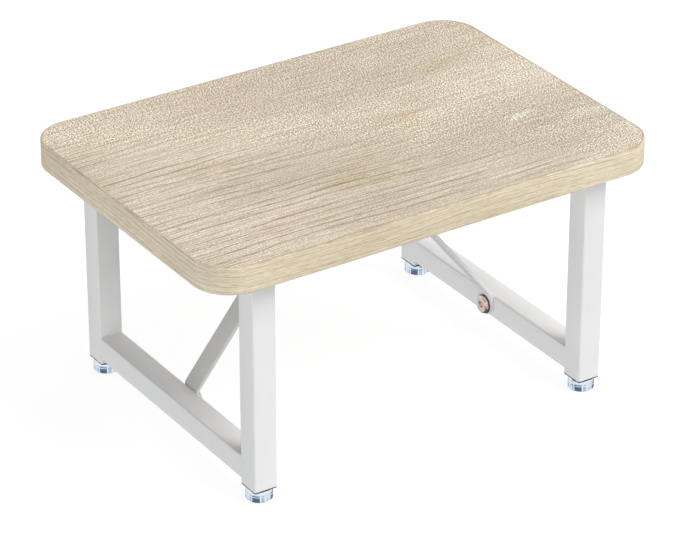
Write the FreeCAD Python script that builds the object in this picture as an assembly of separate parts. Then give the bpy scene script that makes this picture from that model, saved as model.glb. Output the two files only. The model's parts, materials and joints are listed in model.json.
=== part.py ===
"""Monitor riser stand: a laminated board on two welded tube frames with a bent strip brace.

Row frame: origin on the floor under the middle of the board, +X to the right along the
board's length, -Y towards the user, +Z up.  All sizes are in millimetres.
"""
import FreeCAD, Part
import math
import os

V = FreeCAD.Vector
X_AXIS = V(1, 0, 0)
Y_AXIS = V(0, 1, 0)
Z_AXIS = V(0, 0, 1)

# Overall sizes
OVERALL_HEIGHT = 214.0          # floor to the top of the board, feet screwed right in
BOARD_LENGTH = 400.0            # along X
BOARD_DEPTH = 280.0             # along Y
BOARD_THICKNESS = 22.0
FRAME_SPAN = 320.0              # outer face of the left frame to outer face of the right one
FRAME_DEPTH = 250.0             # outer face of a front leg to outer face of a rear leg

# Board
BOARD_CORNER_RADIUS = 32.0
LAMINATE_THICKNESS = 0.8
EDGE_BAND_THICKNESS = 2.0
EDGE_BAND_ROUNDING = 1.0

# Welded frames of square tube
TUBE_SIZE = 20.0
TUBE_WALL = 1.2
TUBE_CORNER_RADIUS = 1.5
LOW_RAIL_RISE = 3.6             # underside of the low rail above the open end of the legs

# Plastic plug in the open end of each leg, and the nut moulded into it
PLUG_FLANGE_THICKNESS = 1.0
PLUG_BODY_HEIGHT = 16.0
PLUG_FIT = 0.1                  # between a plug's ribs and the inside of the tube, each side
PLUG_RIB_STAND = 0.4            # how far a rib stands out of the plug's body
PLUG_RIB_HEIGHT = 1.6
PLUG_RIB_COUNT = 3
PLUG_NUT_WALL = 2.3             # from the inside of the tube to a flat of the nut
PLUG_HOLE_CLEARANCE = 0.4       # radial, round the stem
NUT_HEIGHT = 6.5
NUT_FIT = 0.1                   # between the nut's flats and its pocket

# Levelling foot: chromed cap, threaded stem and a pad that turns freely under the cap
FOOT_DIAMETER = 21.0
FOOT_HEIGHT = 9.9               # floor to the top of the cap
FOOT_EDGE_HEIGHT = 5.1          # floor to the crease between the straight side and the shoulder
FOOT_CREASE_WIDTH = 0.4
FOOT_CREASE_DEPTH = 0.25
FOOT_SHOULDER_RADIUS = 5.2
FOOT_LOWER_CHAMFER = 0.3
FOOT_SKIRT_WALL = 0.7
FOOT_SKIRT_CLEARANCE = 0.6      # the skirt's lower edge above the floor
FOOT_SEAT_CLEARANCE = 0.3       # between the cap and the plug with the foot screwed right in
STEM_DIAMETER = 8.0
STEM_TRAVEL = 10.0              # how far a foot screws out
STEM_THREAD_SPARE = 2.3         # stem left above the nut with the foot screwed right out
STEM_CHAMFER = 1.0
STEM_SEAT_DEPTH = 5.2           # how deep the stem is pressed into the cap
STEM_SEAT_FIT = 0.03
THREAD_FIT = 0.08               # radial, between a plain shank and the plain bore that stand in
                                # for a running thread
PAD_TOP = 1.5
PAD_CHAMFER = 0.4
PAD_SIDE_CLEARANCE = 0.2
PAD_FACE_CLEARANCE = 0.1
PAD_PEG_DIAMETER = 6.1
PAD_PEG_FIT = 0.05
PAD_PEG_HEIGHT = 2.1            # above the pad's disc
PAD_BARB_STAND = 0.35
PAD_BARB_HEIGHT = 0.6

# Brace: one flat strip, bent into a tab, a diagonal, a flat middle, a diagonal and a tab
BRACE_WIDTH = 18.0
BRACE_THICKNESS = 2.5
BRACE_BEND_RADIUS = 4.0         # inside each bend
BRACE_BEND_RISE = 1.2           # lower bend above the top of the low rail
BRACE_FLAT_LENGTH = 32.0        # between the two upper bends
BRACE_SCREW_SPACING = 14.0

# Bolts that hold the brace's tabs to the low rails
BOLT_DIAMETER = 6.0
BOLT_HOLE_CLEARANCE = 0.3       # radial
BRACE_BOLT_HEAD_DIAMETER = 14.5
BRACE_BOLT_HEAD_THICKNESS = 3.0
BRACE_BOLT_REACH = 11.5         # from the rail's inner face to the end of the bolt
BOLT_HEAD_CHAMFER = 0.8
SOCKET_ACROSS_FLATS = 4.0
SOCKET_DEPTH = 2.0
WASHER_DIAMETER = 15.8
WASHER_THICKNESS = 0.8
SHANK_CHAMFER = 0.6
RIVET_NUT_DIAMETER = 9.0
RIVET_NUT_LENGTH = 13.0
RIVET_NUT_BULGE_DIAMETER = 12.0
RIVET_NUT_BULGE_LENGTH = 3.0
FIXED_FIT = 0.05                # radial, of a pressed or screwed-in insert in its hole
FIXED_THREAD_FIT = 0.05         # radial, of a tightened bolt in its nut or insert

# Bolts that hold the board to the top rails
FRAME_BOLT_SPACING = 140.0
FRAME_BOLT_HEAD_DIAMETER = 13.0
FRAME_BOLT_HEAD_THICKNESS = 2.6
FRAME_BOLT_REACH = 12.0         # from the board's underside to the end of the bolt
INSERT_DIAMETER = 10.0
INSERT_LENGTH = 13.0

# Wood screws that hold the middle of the brace to the board
SCREW_DIAMETER = 3.8
SCREW_REACH = 13.0              # from the board's underside to the point
SCREW_POINT_LENGTH = 3.0
SCREW_POINT_DIAMETER = 0.6
SCREW_HOLE_CLEARANCE = 0.2      # radial, in the strip
SCREW_HEAD_DIAMETER = 7.6
SCREW_HEAD_THICKNESS = 2.2
SCREW_HEAD_ROUNDING = 1.0
CROSS_SLOT_LENGTH = 4.4
CROSS_SLOT_WIDTH = 0.9
CROSS_SLOT_DEPTH = 1.3

CUT_MARGIN = 1.0                # how far a cutting shape runs past the piece

# Heights
BOARD_UNDERSIDE = OVERALL_HEIGHT - BOARD_THICKNESS
PLUG_UNDERSIDE = FOOT_HEIGHT + FOOT_SEAT_CLEARANCE
LEG_END = PLUG_UNDERSIDE + PLUG_FLANGE_THICKNESS
PLUG_TOP = LEG_END + PLUG_BODY_HEIGHT
LOW_RAIL_UNDERSIDE = LEG_END + LOW_RAIL_RISE
LOW_RAIL_CENTRE = LOW_RAIL_UNDERSIDE + TUBE_SIZE / 2
LOW_RAIL_TOP = LOW_RAIL_UNDERSIDE + TUBE_SIZE
TOP_RAIL_UNDERSIDE = BOARD_UNDERSIDE - TUBE_SIZE

# Places and sizes that follow
TUBE_INSIDE = TUBE_SIZE - 2 * TUBE_WALL
FRAME_CENTRE_X = (FRAME_SPAN - TUBE_SIZE) / 2
LEG_CENTRE_Y = (FRAME_DEPTH - TUBE_SIZE) / 2
RAIL_LENGTH = FRAME_DEPTH - 2 * TUBE_SIZE
FRAME_INNER_X = FRAME_SPAN / 2 - TUBE_SIZE
STEM_RADIUS = STEM_DIAMETER / 2
BOLT_RADIUS = BOLT_DIAMETER / 2
SCREW_RADIUS = SCREW_DIAMETER / 2
NUT_ACROSS_FLATS = TUBE_INSIDE - 2 * PLUG_NUT_WALL
STEM_BOTTOM = FOOT_HEIGHT - STEM_SEAT_DEPTH
STEM_TOP = PLUG_TOP + STEM_TRAVEL + STEM_THREAD_SPARE

SIDES = {"left": -1, "right": 1}
ENDS = {"front": -1, "rear": 1}


def rounded_slab(length, width, radius, bottom, thickness):
    """A flat slab centred on the Z axis with rounded upright corners."""
    slab = Part.makeBox(length, width, thickness, V(-length / 2, -width / 2, bottom))
    uprights = [edge for edge in slab.Edges if abs(edge.BoundBox.ZLength - thickness) < 1e-6]
    return slab.makeFillet(radius, uprights)


def square_tube(length):
    """A hollow square tube along +Z from the origin."""
    outside = rounded_slab(TUBE_SIZE, TUBE_SIZE, TUBE_CORNER_RADIUS, 0, length)
    inner_radius = max(TUBE_CORNER_RADIUS - TUBE_WALL, TUBE_CORNER_RADIUS / 5)
    inside = rounded_slab(TUBE_INSIDE, TUBE_INSIDE, inner_radius, -CUT_MARGIN,
                          length + 2 * CUT_MARGIN)
    return outside.cut(inside)


def cylinder(radius, bottom, top, x=0.0, y=0.0):
    """An upright cylinder between two heights."""
    return Part.makeCylinder(radius, top - bottom, V(x, y, bottom), Z_AXIS)


def hexagon_prism(across_flats, bottom, top):
    """An upright hexagonal prism with two flats facing +X and -X."""
    corner_radius = across_flats / math.sqrt(3)
    corners = []
    for index in range(7):
        angle = math.radians(30 + 60 * index)
        corners.append(V(corner_radius * math.cos(angle), corner_radius * math.sin(angle), bottom))
    return Part.Face(Part.makePolygon(corners)).extrude(V(0, 0, top - bottom))


def turned(outline):
    """A solid of revolution about Z.

    outline is a closed run of (radius, height) points.  A point of three parts is
    (radius, height, (mid_radius, mid_height)): it is reached by an arc through the mid point.
    """
    edges = []
    last = V(outline[0][0], 0, outline[0][1])
    for point in outline[1:] + outline[:1]:
        here = V(point[0], 0, point[1])
        if len(point) == 3:
            middle = V(point[2][0], 0, point[2][1])
            edges.append(Part.Arc(last, middle, here).toShape())
        else:
            edges.append(Part.LineSegment(last, here).toShape())
        last = here
    return Part.Face(Part.Wire(edges)).revolve(V(0, 0, 0), Z_AXIS, 360)


def moved(shape, x=0.0, y=0.0, z=0.0):
    """A copy of a shape, moved."""
    copy = shape.copy()
    copy.translate(V(x, y, z))
    return copy


def turned_to_rail(shape, side):
    """Turn a shape built along +Z so that it points from the middle into a side frame."""
    copy = shape.copy()
    copy.rotate(V(0, 0, 0), Y_AXIS, 90 * side)
    return copy


def frame_bolt_places(side):
    """(x, y) of the bolts between one frame's top rail and the board."""
    x = side * FRAME_CENTRE_X
    return [(x, end * FRAME_BOLT_SPACING / 2) for end in ENDS.values()]


def brace_screw_places():
    """(x, y) of the wood screws through the flat middle of the brace."""
    return [(side * BRACE_SCREW_SPACING / 2, 0.0) for side in SIDES.values()]


def leg_places():
    """Each leg's name stem with its centre and the signs of its side and end."""
    for side_name, side in SIDES.items():
        for end_name, end in ENDS.items():
            yield f"{end_name}_{side_name}", side * FRAME_CENTRE_X, end * LEG_CENTRE_Y, side, end


# Board

def board_holes(radius, places, depth):
    """Cutting cylinders that enter the board from below."""
    return [cylinder(radius, BOARD_UNDERSIDE - CUT_MARGIN, BOARD_UNDERSIDE + depth, x, y)
            for x, y in places]


def board_fastener_holes():
    """Every hole in the board: blind holes for the inserts and for the wood screws."""
    holes = []
    for side in SIDES.values():
        insert_radius = INSERT_DIAMETER / 2 + FIXED_FIT
        holes += board_holes(insert_radius, frame_bolt_places(side), INSERT_LENGTH)
    holes += board_holes(SCREW_RADIUS + FIXED_FIT, brace_screw_places(), SCREW_REACH)
    return holes


def board_layer(bottom, thickness):
    """One flat layer of the board inside the edge band."""
    length = BOARD_LENGTH - 2 * EDGE_BAND_THICKNESS
    depth = BOARD_DEPTH - 2 * EDGE_BAND_THICKNESS
    radius = BOARD_CORNER_RADIUS - EDGE_BAND_THICKNESS
    return rounded_slab(length, depth, radius, bottom, thickness)


def tabletop_core():
    core = board_layer(BOARD_UNDERSIDE + LAMINATE_THICKNESS,
                       BOARD_THICKNESS - 2 * LAMINATE_THICKNESS)
    return core.cut(board_fastener_holes())


def tabletop_top_laminate():
    return board_layer(OVERALL_HEIGHT - LAMINATE_THICKNESS, LAMINATE_THICKNESS)


def tabletop_bottom_laminate():
    return board_layer(BOARD_UNDERSIDE, LAMINATE_THICKNESS).cut(board_fastener_holes())


def tabletop_edge_band():
    """The band round the board's edge, with its outer arrises rounded."""
    blank = rounded_slab(BOARD_LENGTH, BOARD_DEPTH, BOARD_CORNER_RADIUS, BOARD_UNDERSIDE,
                         BOARD_THICKNESS)
    arrises = [edge for edge in blank.Edges if edge.BoundBox.ZLength < 1e-6]
    blank = blank.makeFillet(EDGE_BAND_ROUNDING, arrises)
    return blank.cut(board_layer(BOARD_UNDERSIDE - CUT_MARGIN, BOARD_THICKNESS + 2 * CUT_MARGIN))


# Frames

def mitre_wedge(side, end, keep_leg):
    """The wedge cut off a leg's top, or off a top rail's end, at their mitred corner."""
    outer_y = end * FRAME_DEPTH / 2
    inner_y = end * (FRAME_DEPTH / 2 - TUBE_SIZE)
    outer_top = V(0, outer_y, BOARD_UNDERSIDE)
    inner_bottom = V(0, inner_y, TOP_RAIL_UNDERSIDE)
    if keep_leg:
        third = V(0, inner_y, BOARD_UNDERSIDE)
    else:
        third = V(0, outer_y, TOP_RAIL_UNDERSIDE)
    face = Part.Face(Part.makePolygon([outer_top, inner_bottom, third, outer_top]))
    wedge = face.extrude(V(TUBE_SIZE + 2 * CUT_MARGIN, 0, 0))
    return moved(wedge, x=side * FRAME_CENTRE_X - TUBE_SIZE / 2 - CUT_MARGIN)


def leg(x, y, side, end):
    tube = moved(square_tube(BOARD_UNDERSIDE - LEG_END), x, y, LEG_END)
    return tube.cut(mitre_wedge(side, end, keep_leg=True))


def rail(length, x, centre_height):
    """A tube along Y, centred on Y = 0."""
    tube = square_tube(length)
    tube.rotate(V(0, 0, 0), X_AXIS, -90)
    return moved(tube, x, -length / 2, centre_height)


def low_rail(side):
    """The low rail, with the hole for the rivet nut in its inner wall."""
    tube = rail(RAIL_LENGTH, side * FRAME_CENTRE_X, LOW_RAIL_CENTRE)
    hole = turned_to_rail(cylinder(RIVET_NUT_DIAMETER / 2 + FIXED_FIT, -CUT_MARGIN,
                                   TUBE_SIZE / 2), side)
    return tube.cut(moved(hole, side * FRAME_INNER_X, 0, LOW_RAIL_CENTRE))


def top_rail(side):
    """The top rail, with its mitred ends and the holes for the board's bolts."""
    tube = rail(FRAME_DEPTH, side * FRAME_CENTRE_X, BOARD_UNDERSIDE - TUBE_SIZE / 2)
    cuts = [mitre_wedge(side, end, keep_leg=False) for end in ENDS.values()]
    for x, y in frame_bolt_places(side):
        cuts.append(cylinder(BOLT_RADIUS + BOLT_HOLE_CLEARANCE, TOP_RAIL_UNDERSIDE - CUT_MARGIN,
                             BOARD_UNDERSIDE + CUT_MARGIN, x, y))
    return tube.cut(cuts)


def leg_plug():
    """The ribbed plug in a leg's end, with a flange as wide as the tube and a nut pocket."""
    rib_size = TUBE_INSIDE - 2 * PLUG_FIT
    body_size = rib_size - 2 * PLUG_RIB_STAND
    corner = TUBE_CORNER_RADIUS / 2
    plug = rounded_slab(TUBE_SIZE, TUBE_SIZE, TUBE_CORNER_RADIUS, PLUG_UNDERSIDE,
                        PLUG_FLANGE_THICKNESS)
    plug = plug.fuse(rounded_slab(body_size, body_size, corner, LEG_END, PLUG_BODY_HEIGHT))
    pitch = PLUG_BODY_HEIGHT / PLUG_RIB_COUNT
    for index in range(PLUG_RIB_COUNT):
        rib_bottom = LEG_END + pitch * (index + 0.5) - PLUG_RIB_HEIGHT / 2
        plug = plug.fuse(rounded_slab(rib_size, rib_size, corner, rib_bottom, PLUG_RIB_HEIGHT))
    pocket = hexagon_prism(NUT_ACROSS_FLATS + 2 * NUT_FIT, PLUG_TOP - NUT_HEIGHT,
                           PLUG_TOP + CUT_MARGIN)
    hole = cylinder(STEM_RADIUS + PLUG_HOLE_CLEARANCE, PLUG_UNDERSIDE - CUT_MARGIN,
                    PLUG_TOP + CUT_MARGIN)
    return plug.cut([pocket, hole]).removeSplitter()


def leg_nut():
    nut = hexagon_prism(NUT_ACROSS_FLATS, PLUG_TOP - NUT_HEIGHT, PLUG_TOP)
    return nut.cut(cylinder(STEM_RADIUS + THREAD_FIT, PLUG_TOP - NUT_HEIGHT - CUT_MARGIN,
                            PLUG_TOP + CUT_MARGIN))


# Levelling feet

def foot_cap():
    """The chromed cap: straight side, crease and rounded shoulder, hollowed for pad and stem."""
    radius = FOOT_DIAMETER / 2
    skirt_inside = radius - FOOT_SKIRT_WALL
    ceiling = PAD_TOP + PAD_FACE_CLEARANCE
    peg_bore = PAD_PEG_DIAMETER / 2 + PAD_PEG_FIT
    barb_bore = peg_bore + PAD_BARB_STAND + PAD_PEG_FIT
    bore_top = PAD_TOP + PAD_PEG_HEIGHT + PAD_FACE_CLEARANCE
    barb_ledge = bore_top - PAD_BARB_HEIGHT - 2 * PAD_FACE_CLEARANCE
    crease_middle = FOOT_EDGE_HEIGHT + FOOT_CREASE_WIDTH / 2
    shoulder_start = FOOT_EDGE_HEIGHT + FOOT_CREASE_WIDTH
    shoulder_centre = radius - FOOT_SHOULDER_RADIUS
    shoulder_angle = math.asin((FOOT_HEIGHT - shoulder_start) / FOOT_SHOULDER_RADIUS)
    shoulder_middle = (shoulder_centre + FOOT_SHOULDER_RADIUS * math.cos(shoulder_angle / 2),
                       shoulder_start + FOOT_SHOULDER_RADIUS * math.sin(shoulder_angle / 2))
    shoulder_end = shoulder_centre + FOOT_SHOULDER_RADIUS * math.cos(shoulder_angle)
    stem_bore = STEM_RADIUS + STEM_SEAT_FIT
    return turned([
        (0, bore_top),
        (barb_bore, bore_top),
        (barb_bore, barb_ledge),
        (peg_bore, barb_ledge),
        (peg_bore, ceiling),
        (skirt_inside, ceiling),
        (skirt_inside, FOOT_SKIRT_CLEARANCE),
        (radius - FOOT_LOWER_CHAMFER, FOOT_SKIRT_CLEARANCE),
        (radius, FOOT_SKIRT_CLEARANCE + FOOT_LOWER_CHAMFER),
        (radius, FOOT_EDGE_HEIGHT),
        (radius - FOOT_CREASE_DEPTH, crease_middle),
        (radius, shoulder_start),
        (shoulder_end, FOOT_HEIGHT, shoulder_middle),
        (stem_bore, FOOT_HEIGHT),
        (stem_bore, STEM_BOTTOM),
        (0, STEM_BOTTOM),
    ])


def foot_stem():
    return turned([
        (0, STEM_BOTTOM),
        (STEM_RADIUS, STEM_BOTTOM),
        (STEM_RADIUS, STEM_TOP - STEM_CHAMFER),
        (STEM_RADIUS - STEM_CHAMFER, STEM_TOP),
        (0, STEM_TOP),
    ])


def foot_pad():
    """The pad's disc and the barbed peg that snaps into the cap."""
    radius = FOOT_DIAMETER / 2 - FOOT_SKIRT_WALL - PAD_SIDE_CLEARANCE
    peg = PAD_PEG_DIAMETER / 2
    barb = peg + PAD_BARB_STAND
    peg_top = PAD_TOP + PAD_PEG_HEIGHT
    barb_bottom = peg_top - PAD_BARB_HEIGHT
    return turned([
        (0, 0),
        (radius - PAD_CHAMFER, 0),
        (radius, PAD_CHAMFER),
        (radius, PAD_TOP),
        (peg, PAD_TOP),
        (peg, barb_bottom),
        (barb, barb_bottom),
        (barb, barb_bottom + PAD_BARB_HEIGHT / 3),
        (peg - PAD_BARB_STAND, peg_top),
        (0, peg_top),
    ])


# Brace

def left_of(direction):
    """The direction a quarter turn to the left in the XZ plane."""
    return V(-direction.z, 0, direction.x)


def offset_run(corners, bend_radius, offset):
    """Edges of a bent centre line, moved to its left by offset; bend_radius is at the centre."""
    edges = []
    directions = [(after - before).normalize() for before, after in zip(corners, corners[1:])]
    start = corners[0] + left_of(directions[0]) * offset
    for corner, inward, outward in zip(corners[1:-1], directions, directions[1:]):
        hand = math.copysign(1, left_of(inward).dot(outward))
        half_turn = inward.getAngle(outward) / 2
        setback = bend_radius * math.tan(half_turn)
        bend_start = corner - inward * setback
        centre = bend_start + left_of(inward) * (hand * bend_radius)
        arc_start = bend_start + left_of(inward) * offset
        arc_end = corner + outward * setback + left_of(outward) * offset
        to_corner = (corner - centre).normalize()
        arc_middle = centre + to_corner * (bend_radius - hand * offset)
        edges.append(Part.LineSegment(start, arc_start).toShape())
        edges.append(Part.Arc(arc_start, arc_middle, arc_end).toShape())
        start = arc_end
    finish = corners[-1] + left_of(directions[-1]) * offset
    edges.append(Part.LineSegment(start, finish).toShape())
    return edges, finish


def brace_strip():
    """The strip bent to shape, before its ends are rounded and its holes are drilled."""
    tab_x = FRAME_INNER_X - BRACE_THICKNESS / 2
    tab_bottom = LOW_RAIL_CENTRE - BRACE_WIDTH / 2
    bend_height = LOW_RAIL_TOP + BRACE_BEND_RISE
    flat_height = BOARD_UNDERSIDE - BRACE_THICKNESS / 2
    half_flat = BRACE_FLAT_LENGTH / 2
    corners = [V(-tab_x, 0, tab_bottom), V(-tab_x, 0, bend_height), V(-half_flat, 0, flat_height)]
    corners += [V(-corner.x, 0, corner.z) for corner in reversed(corners)]
    bend_radius = BRACE_BEND_RADIUS + BRACE_THICKNESS / 2
    above, above_end = offset_run(corners, bend_radius, BRACE_THICKNESS / 2)
    below, below_end = offset_run(corners, bend_radius, -BRACE_THICKNESS / 2)
    across = V(BRACE_THICKNESS, 0, 0)
    far_end = Part.LineSegment(above_end, below_end).toShape()
    near_end = Part.LineSegment(corners[0] - across * 0.5, corners[0] + across * 0.5).toShape()
    outline = Part.Wire(Part.__sortEdges__(above + below + [far_end, near_end]))
    strip = Part.Face(outline).extrude(V(0, BRACE_WIDTH, 0))
    return moved(strip, y=-BRACE_WIDTH / 2)


def tab_corner_cut(side):
    """What is cut off a tab to leave its end as a half circle round the bolt."""
    half_width = BRACE_WIDTH / 2
    block = Part.makeBox(half_width + CUT_MARGIN, BRACE_WIDTH + 2 * CUT_MARGIN, BRACE_THICKNESS
                         + 2 * CUT_MARGIN, V(0, -half_width - CUT_MARGIN, -CUT_MARGIN))
    round_end = cylinder(half_width, -2 * CUT_MARGIN, BRACE_THICKNESS + 2 * CUT_MARGIN)
    corners = block.cut(round_end)
    corners.rotate(V(0, 0, 0), Y_AXIS, 90)
    return moved(corners, side * FRAME_INNER_X - (BRACE_THICKNESS if side > 0 else 0), 0,
                 LOW_RAIL_CENTRE)


def brace():
    """The finished brace: bent strip, rounded tabs, bolt holes and screw holes."""
    cuts = []
    for side in SIDES.values():
        cuts.append(tab_corner_cut(side))
        hole = turned_to_rail(cylinder(BOLT_RADIUS + BOLT_HOLE_CLEARANCE, -CUT_MARGIN,
                                       BRACE_THICKNESS + CUT_MARGIN), side)
        cuts.append(moved(hole, side * (FRAME_INNER_X - BRACE_THICKNESS), 0, LOW_RAIL_CENTRE))
    for x, y in brace_screw_places():
        cuts.append(cylinder(SCREW_RADIUS + SCREW_HOLE_CLEARANCE,
                             BOARD_UNDERSIDE - BRACE_THICKNESS - CUT_MARGIN,
                             BOARD_UNDERSIDE + CUT_MARGIN, x, y))
    return brace_strip().cut(cuts)


# Fasteners, each built along +Z with the underside of its head at Z = 0

def socket_bolt(head_diameter, head_thickness, shank_length):
    """A connector bolt: flat chamfered head with a hexagonal socket, and a plain shank."""
    head = head_diameter / 2
    bolt = turned([
        (0, -head_thickness),
        (head - BOLT_HEAD_CHAMFER, -head_thickness),
        (head, BOLT_HEAD_CHAMFER - head_thickness),
        (head, 0),
        (BOLT_RADIUS, 0),
        (BOLT_RADIUS, shank_length - SHANK_CHAMFER),
        (BOLT_RADIUS - SHANK_CHAMFER, shank_length),
        (0, shank_length),
    ])
    return bolt.cut(hexagon_prism(SOCKET_ACROSS_FLATS, -head_thickness - CUT_MARGIN,
                                  SOCKET_DEPTH - head_thickness))


def brace_bolt(side):
    shank = BRACE_BOLT_REACH + BRACE_THICKNESS + WASHER_THICKNESS
    bolt = turned_to_rail(socket_bolt(BRACE_BOLT_HEAD_DIAMETER, BRACE_BOLT_HEAD_THICKNESS,
                                      shank), side)
    seat_x = FRAME_INNER_X - BRACE_THICKNESS - WASHER_THICKNESS
    return moved(bolt, side * seat_x, 0, LOW_RAIL_CENTRE)


def brace_washer(side):
    disc = cylinder(WASHER_DIAMETER / 2, 0, WASHER_THICKNESS)
    washer = disc.cut(cylinder(BOLT_RADIUS + BOLT_HOLE_CLEARANCE, -CUT_MARGIN,
                               WASHER_THICKNESS + CUT_MARGIN))
    seat_x = FRAME_INNER_X - BRACE_THICKNESS - WASHER_THICKNESS
    return moved(turned_to_rail(washer, side), side * seat_x, 0, LOW_RAIL_CENTRE)


def rivet_nut(side):
    """The nut set in the low rail: its bulge is pulled up against the inside of the wall."""
    barrel = RIVET_NUT_DIAMETER / 2
    bulge = RIVET_NUT_BULGE_DIAMETER / 2
    bore = BOLT_RADIUS + FIXED_THREAD_FIT
    nut = turned([
        (bore, 0),
        (barrel, 0),
        (barrel, TUBE_WALL),
        (bulge, TUBE_WALL),
        (bulge, TUBE_WALL + RIVET_NUT_BULGE_LENGTH),
        (barrel, TUBE_WALL + RIVET_NUT_BULGE_LENGTH),
        (barrel, RIVET_NUT_LENGTH),
        (bore, RIVET_NUT_LENGTH),
    ])
    return moved(turned_to_rail(nut, side), side * FRAME_INNER_X, 0, LOW_RAIL_CENTRE)


def frame_bolts(side):
    """The bolts that come up through one top rail into the board's inserts."""
    bolt = socket_bolt(FRAME_BOLT_HEAD_DIAMETER, FRAME_BOLT_HEAD_THICKNESS,
                       TUBE_SIZE + FRAME_BOLT_REACH)
    return Part.makeCompound([moved(bolt, x, y, TOP_RAIL_UNDERSIDE)
                              for x, y in frame_bolt_places(side)])


def board_inserts(side):
    """The threaded inserts in the board above one top rail."""
    sleeve = cylinder(INSERT_DIAMETER / 2, 0, INSERT_LENGTH)
    insert = sleeve.cut(cylinder(BOLT_RADIUS + FIXED_THREAD_FIT, -CUT_MARGIN,
                                 INSERT_LENGTH + CUT_MARGIN))
    return Part.makeCompound([moved(insert, x, y, BOARD_UNDERSIDE)
                              for x, y in frame_bolt_places(side)])


def cross_slots():
    """The two crossed slots of a screwdriver recess, centred on the Z axis."""
    slots = []
    for length, width in ((CROSS_SLOT_LENGTH, CROSS_SLOT_WIDTH), (CROSS_SLOT_WIDTH,
                                                                  CROSS_SLOT_LENGTH)):
        corner = V(-length / 2, -width / 2, -SCREW_HEAD_THICKNESS - CUT_MARGIN)
        slots.append(Part.makeBox(length, width, CUT_MARGIN + CROSS_SLOT_DEPTH, corner))
    return slots


def brace_screws():
    """The pan-head wood screws through the middle of the brace."""
    head = SCREW_HEAD_DIAMETER / 2
    rounding_middle = SCREW_HEAD_ROUNDING * (1 - math.sqrt(0.5))
    length = BRACE_THICKNESS + SCREW_REACH
    screw = turned([
        (0, -SCREW_HEAD_THICKNESS),
        (head - SCREW_HEAD_ROUNDING, -SCREW_HEAD_THICKNESS),
        (head, SCREW_HEAD_ROUNDING - SCREW_HEAD_THICKNESS,
         (head - rounding_middle, rounding_middle - SCREW_HEAD_THICKNESS)),
        (head, 0),
        (SCREW_RADIUS, 0),
        (SCREW_RADIUS, length - SCREW_POINT_LENGTH),
        (SCREW_POINT_DIAMETER / 2, length),
        (0, length),
    ])
    screw = screw.cut(cross_slots())
    return Part.makeCompound([moved(screw, x, y, BOARD_UNDERSIDE - BRACE_THICKNESS)
                              for x, y in brace_screw_places()])


def build_nodes():
    """Every piece of the stand, by its name."""
    nodes = {
        "tabletop_core": tabletop_core(),
        "tabletop_top_laminate": tabletop_top_laminate(),
        "tabletop_bottom_laminate": tabletop_bottom_laminate(),
        "tabletop_edge_band": tabletop_edge_band(),
        "brace_strip": brace(),
        "brace_screws": brace_screws(),
    }
    for side_name, side in SIDES.items():
        nodes[f"{side_name}_low_rail"] = low_rail(side)
        nodes[f"{side_name}_top_rail"] = top_rail(side)
        nodes[f"{side_name}_rivet_nut"] = rivet_nut(side)
        nodes[f"{side_name}_brace_washer"] = brace_washer(side)
        nodes[f"{side_name}_brace_bolt"] = brace_bolt(side)
        nodes[f"{side_name}_frame_bolts"] = frame_bolts(side)
        nodes[f"{side_name}_board_inserts"] = board_inserts(side)
    for name, x, y, side, end in leg_places():
        nodes[f"{name}_leg"] = leg(x, y, side, end)
        nodes[f"{name}_plug"] = moved(leg_plug(), x, y)
        nodes[f"{name}_nut"] = moved(leg_nut(), x, y)
        nodes[f"{name}_foot_stem"] = moved(foot_stem(), x, y)
        nodes[f"{name}_foot_cap"] = moved(foot_cap(), x, y)
        nodes[f"{name}_foot_pad"] = moved(foot_pad(), x, y)
    return nodes


os.makedirs("parts", exist_ok=True)
for node_name, node_shape in build_nodes().items():
    node_shape.exportStep(f"parts/{node_name}.step")
    print(node_name, node_shape.isValid(), len(node_shape.Solids), round(node_shape.Volume, 1))
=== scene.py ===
"""Monitor riser stand: the finished look of every piece, built round the design frame.

Each sub-assembly is a class whose sizes are its fields.  Places come from the frame, so a piece
always lies where the design puts it.  All sizes are in metres.
"""

import json
import logging
import math
from collections.abc import Callable, Iterator
from contextlib import contextmanager
from dataclasses import dataclass
from enum import Enum
from typing import NamedTuple

import bmesh
import bpy
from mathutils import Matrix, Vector


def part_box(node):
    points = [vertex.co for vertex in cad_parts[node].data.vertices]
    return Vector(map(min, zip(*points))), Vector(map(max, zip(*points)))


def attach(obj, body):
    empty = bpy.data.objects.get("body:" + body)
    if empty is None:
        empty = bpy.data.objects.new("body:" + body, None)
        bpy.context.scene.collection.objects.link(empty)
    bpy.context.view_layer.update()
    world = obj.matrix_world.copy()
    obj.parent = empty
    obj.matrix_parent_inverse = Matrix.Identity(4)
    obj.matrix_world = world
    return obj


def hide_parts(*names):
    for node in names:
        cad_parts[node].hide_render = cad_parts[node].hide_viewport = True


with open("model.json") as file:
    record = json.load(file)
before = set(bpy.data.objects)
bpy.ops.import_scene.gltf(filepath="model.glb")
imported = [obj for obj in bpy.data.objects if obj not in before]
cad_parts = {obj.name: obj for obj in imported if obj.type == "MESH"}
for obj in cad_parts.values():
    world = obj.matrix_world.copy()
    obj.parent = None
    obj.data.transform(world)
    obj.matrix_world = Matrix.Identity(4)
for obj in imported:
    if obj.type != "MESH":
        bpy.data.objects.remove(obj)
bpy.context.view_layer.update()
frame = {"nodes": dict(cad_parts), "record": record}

LOG = logging.getLogger("riser")
MM = 0.001
TINY = 1e-6
ALONG = 0.9             # a direction counts as along an axis when its share is over this
SHARP_ANGLE = 30        # degrees between faces from which an edge gets rounded
TOOL_SIDES = 48
Socket = bpy.types.NodeSocket
Rgb = tuple[float, float, float]
Stretch = tuple[float, float, float]
Outline = list[tuple[float, float]]
Rule = Callable[[Vector, Vector], bool]


class Place(Enum):
    """A place on the stand, whose value is its sign along an axis."""

    @property
    def word(self) -> str:
        """The place as it stands in the frame's names."""
        return self.name.lower()


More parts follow.
